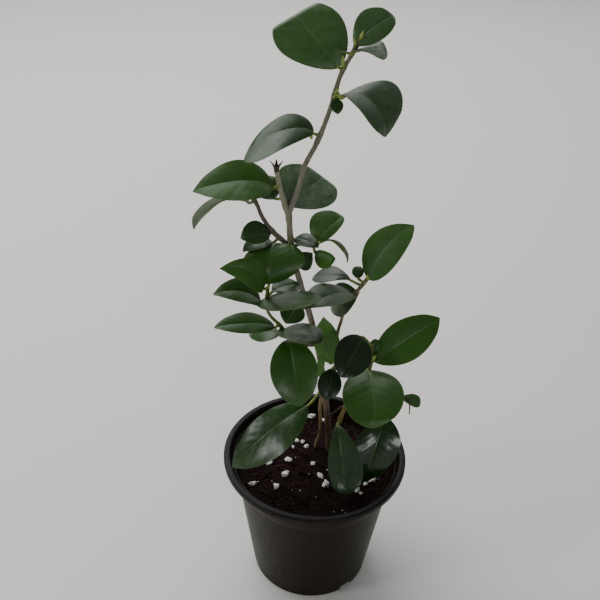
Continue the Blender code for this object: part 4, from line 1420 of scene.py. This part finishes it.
class CAMELLIA_OT_build_leaves(bpy.types.Operator):
    """Model one toothed, veined blade, and bend copies to the leaves and the dry husk"""
    bl_idname = "camellia.build_leaves"
    bl_label = "Leaves"

    def execute(self, context):
        settings = context.scene.camellia_leaves
        materials = (camellia_leaf_upper(settings), camellia_leaf_underside(settings),
                     camellia_leaf_rim(settings), camellia_stalk())
        master = model_master_blade()
        for node, stems in LEAFY_STEMS.items():
            for name, row in LEAVES.items():
                if row[0] in stems:
                    build_leaf(name, node, master, settings, materials)
        build_husk(master, dry_bud_husk())
        bpy.data.objects.remove(master)
        return {"FINISHED"}


# The stage

class StageSettings(bpy.types.PropertyGroup):
    floor: colour_property("Floor", "Colour of the plain floor", "#F2F0EC")
    surround: FloatProperty(name="Surround", description="Strength of the even light all round",
                            default=0.22, min=0)
    back: FloatProperty(name="Back light", description="Power of the tall soft light behind",
                        default=11.0, min=0)
    top: FloatProperty(name="Top light", description="Power of the soft light overhead",
                       default=28.0, min=0)
    window: FloatProperty(name="Windows", description="Power of the small lights left and in front",
                          default=6.0, min=0)


def add_softbox(name, place, size, power):
    select_only(None)
    bpy.ops.object.light_add(type="AREA", location=place)
    light = name_new(name)
    light.data.shape = "RECTANGLE"
    light.data.size = size[0]
    light.data.size_y = size[1]
    light.data.energy = power
    aim = Vector(LIGHT_AIM) - Vector(place)
    light.rotation_euler = aim.to_track_quat("-Z", "Y").to_euler()


def matt_floor_board(settings):
    """A painted board: even, pale and matt."""
    material, _, shader = start_material("matt_painted_board", {"IOR": 1.45, "Roughness": 0.85})
    shader.inputs["Base Color"].default_value = rgba(settings.floor)
    return material


class CAMELLIA_OT_build_stage(bpy.types.Operator):
    """Set the plain pale floor, the soft lights and the camera"""
    bl_idname = "camellia.build_stage"
    bl_label = "Floor, lights and camera"

    def execute(self, context):
        settings = context.scene.camellia_stage
        select_only(None)
        bpy.ops.mesh.primitive_plane_add(size=FLOOR_SIZE)
        floor = name_new("floor")
        wear(floor, matt_floor_board(settings))
        for name, (place, size, setting, share) in LIGHTS.items():
            add_softbox(name, place, size, share * getattr(settings, setting))
        world = bpy.data.worlds.new("soft_surround")
        world.use_nodes = True
        background = world.node_tree.nodes["Background"]
        background.inputs["Strength"].default_value = settings.surround
        background.inputs["Color"].default_value = (1, 1, 1, 1)
        context.scene.world = world
        select_only(None)
        bpy.ops.object.camera_add(location=Vector(CAMERA_PLACE) * MM)
        camera = name_new("camera")
        camera.data.lens = CAMERA_LENS
        camera.data.clip_start = 0.01
        pitch = Matrix.Rotation(math.radians(90 - CAMERA_PITCH), 3, "X")
        roll = Matrix.Rotation(math.radians(CAMERA_ROLL), 3, "Z")
        camera.rotation_euler = (pitch @ roll).to_euler()
        context.scene.camera = camera
        return {"FINISHED"}


# The panel and the run

STEPS = (
    CAMELLIA_OT_build_stage,
    CAMELLIA_OT_build_pot,
    CAMELLIA_OT_build_mix,
    CAMELLIA_OT_build_stems,
    CAMELLIA_OT_build_leaves,
)

SETTINGS = {
    "camellia_pot": PotSettings,
    "camellia_mix": MixSettings,
    "camellia_stems": StemSettings,
    "camellia_leaves": LeafSettings,
    "camellia_stage": StageSettings,
}


class CAMELLIA_PT_panel(bpy.types.Panel):
    """Lists the camellia's sizes, colours and build steps"""
    bl_idname = "CAMELLIA_PT_panel"
    bl_label = "Potted camellia"
    bl_space_type = "VIEW_3D"
    bl_region_type = "UI"
    bl_category = "Camellia"

    def draw(self, context):
        for step in STEPS:
            self.layout.operator(step.bl_idname)
        for name, group in SETTINGS.items():
            box = self.layout.box()
            settings = getattr(context.scene, name)
            for field in group.__annotations__:
                box.prop(settings, field)


def register():
    for name, group in SETTINGS.items():
        bpy.utils.register_class(group)
        setattr(bpy.types.Scene, name, PointerProperty(type=group))
    for step in STEPS:
        bpy.utils.register_class(step)
    bpy.utils.register_class(CAMELLIA_PT_panel)


def unregister():
    bpy.utils.unregister_class(CAMELLIA_PT_panel)
    for step in reversed(STEPS):
        bpy.utils.unregister_class(step)
    for name, group in SETTINGS.items():
        delattr(bpy.types.Scene, name)
        bpy.utils.unregister_class(group)


def main():
    register()
    bpy.ops.camellia.build_stage()
    bpy.ops.camellia.build_pot()
    bpy.ops.camellia.build_mix()
    bpy.ops.camellia.build_stems()
    bpy.ops.camellia.build_leaves()


if __name__ == "__main__":
    main()
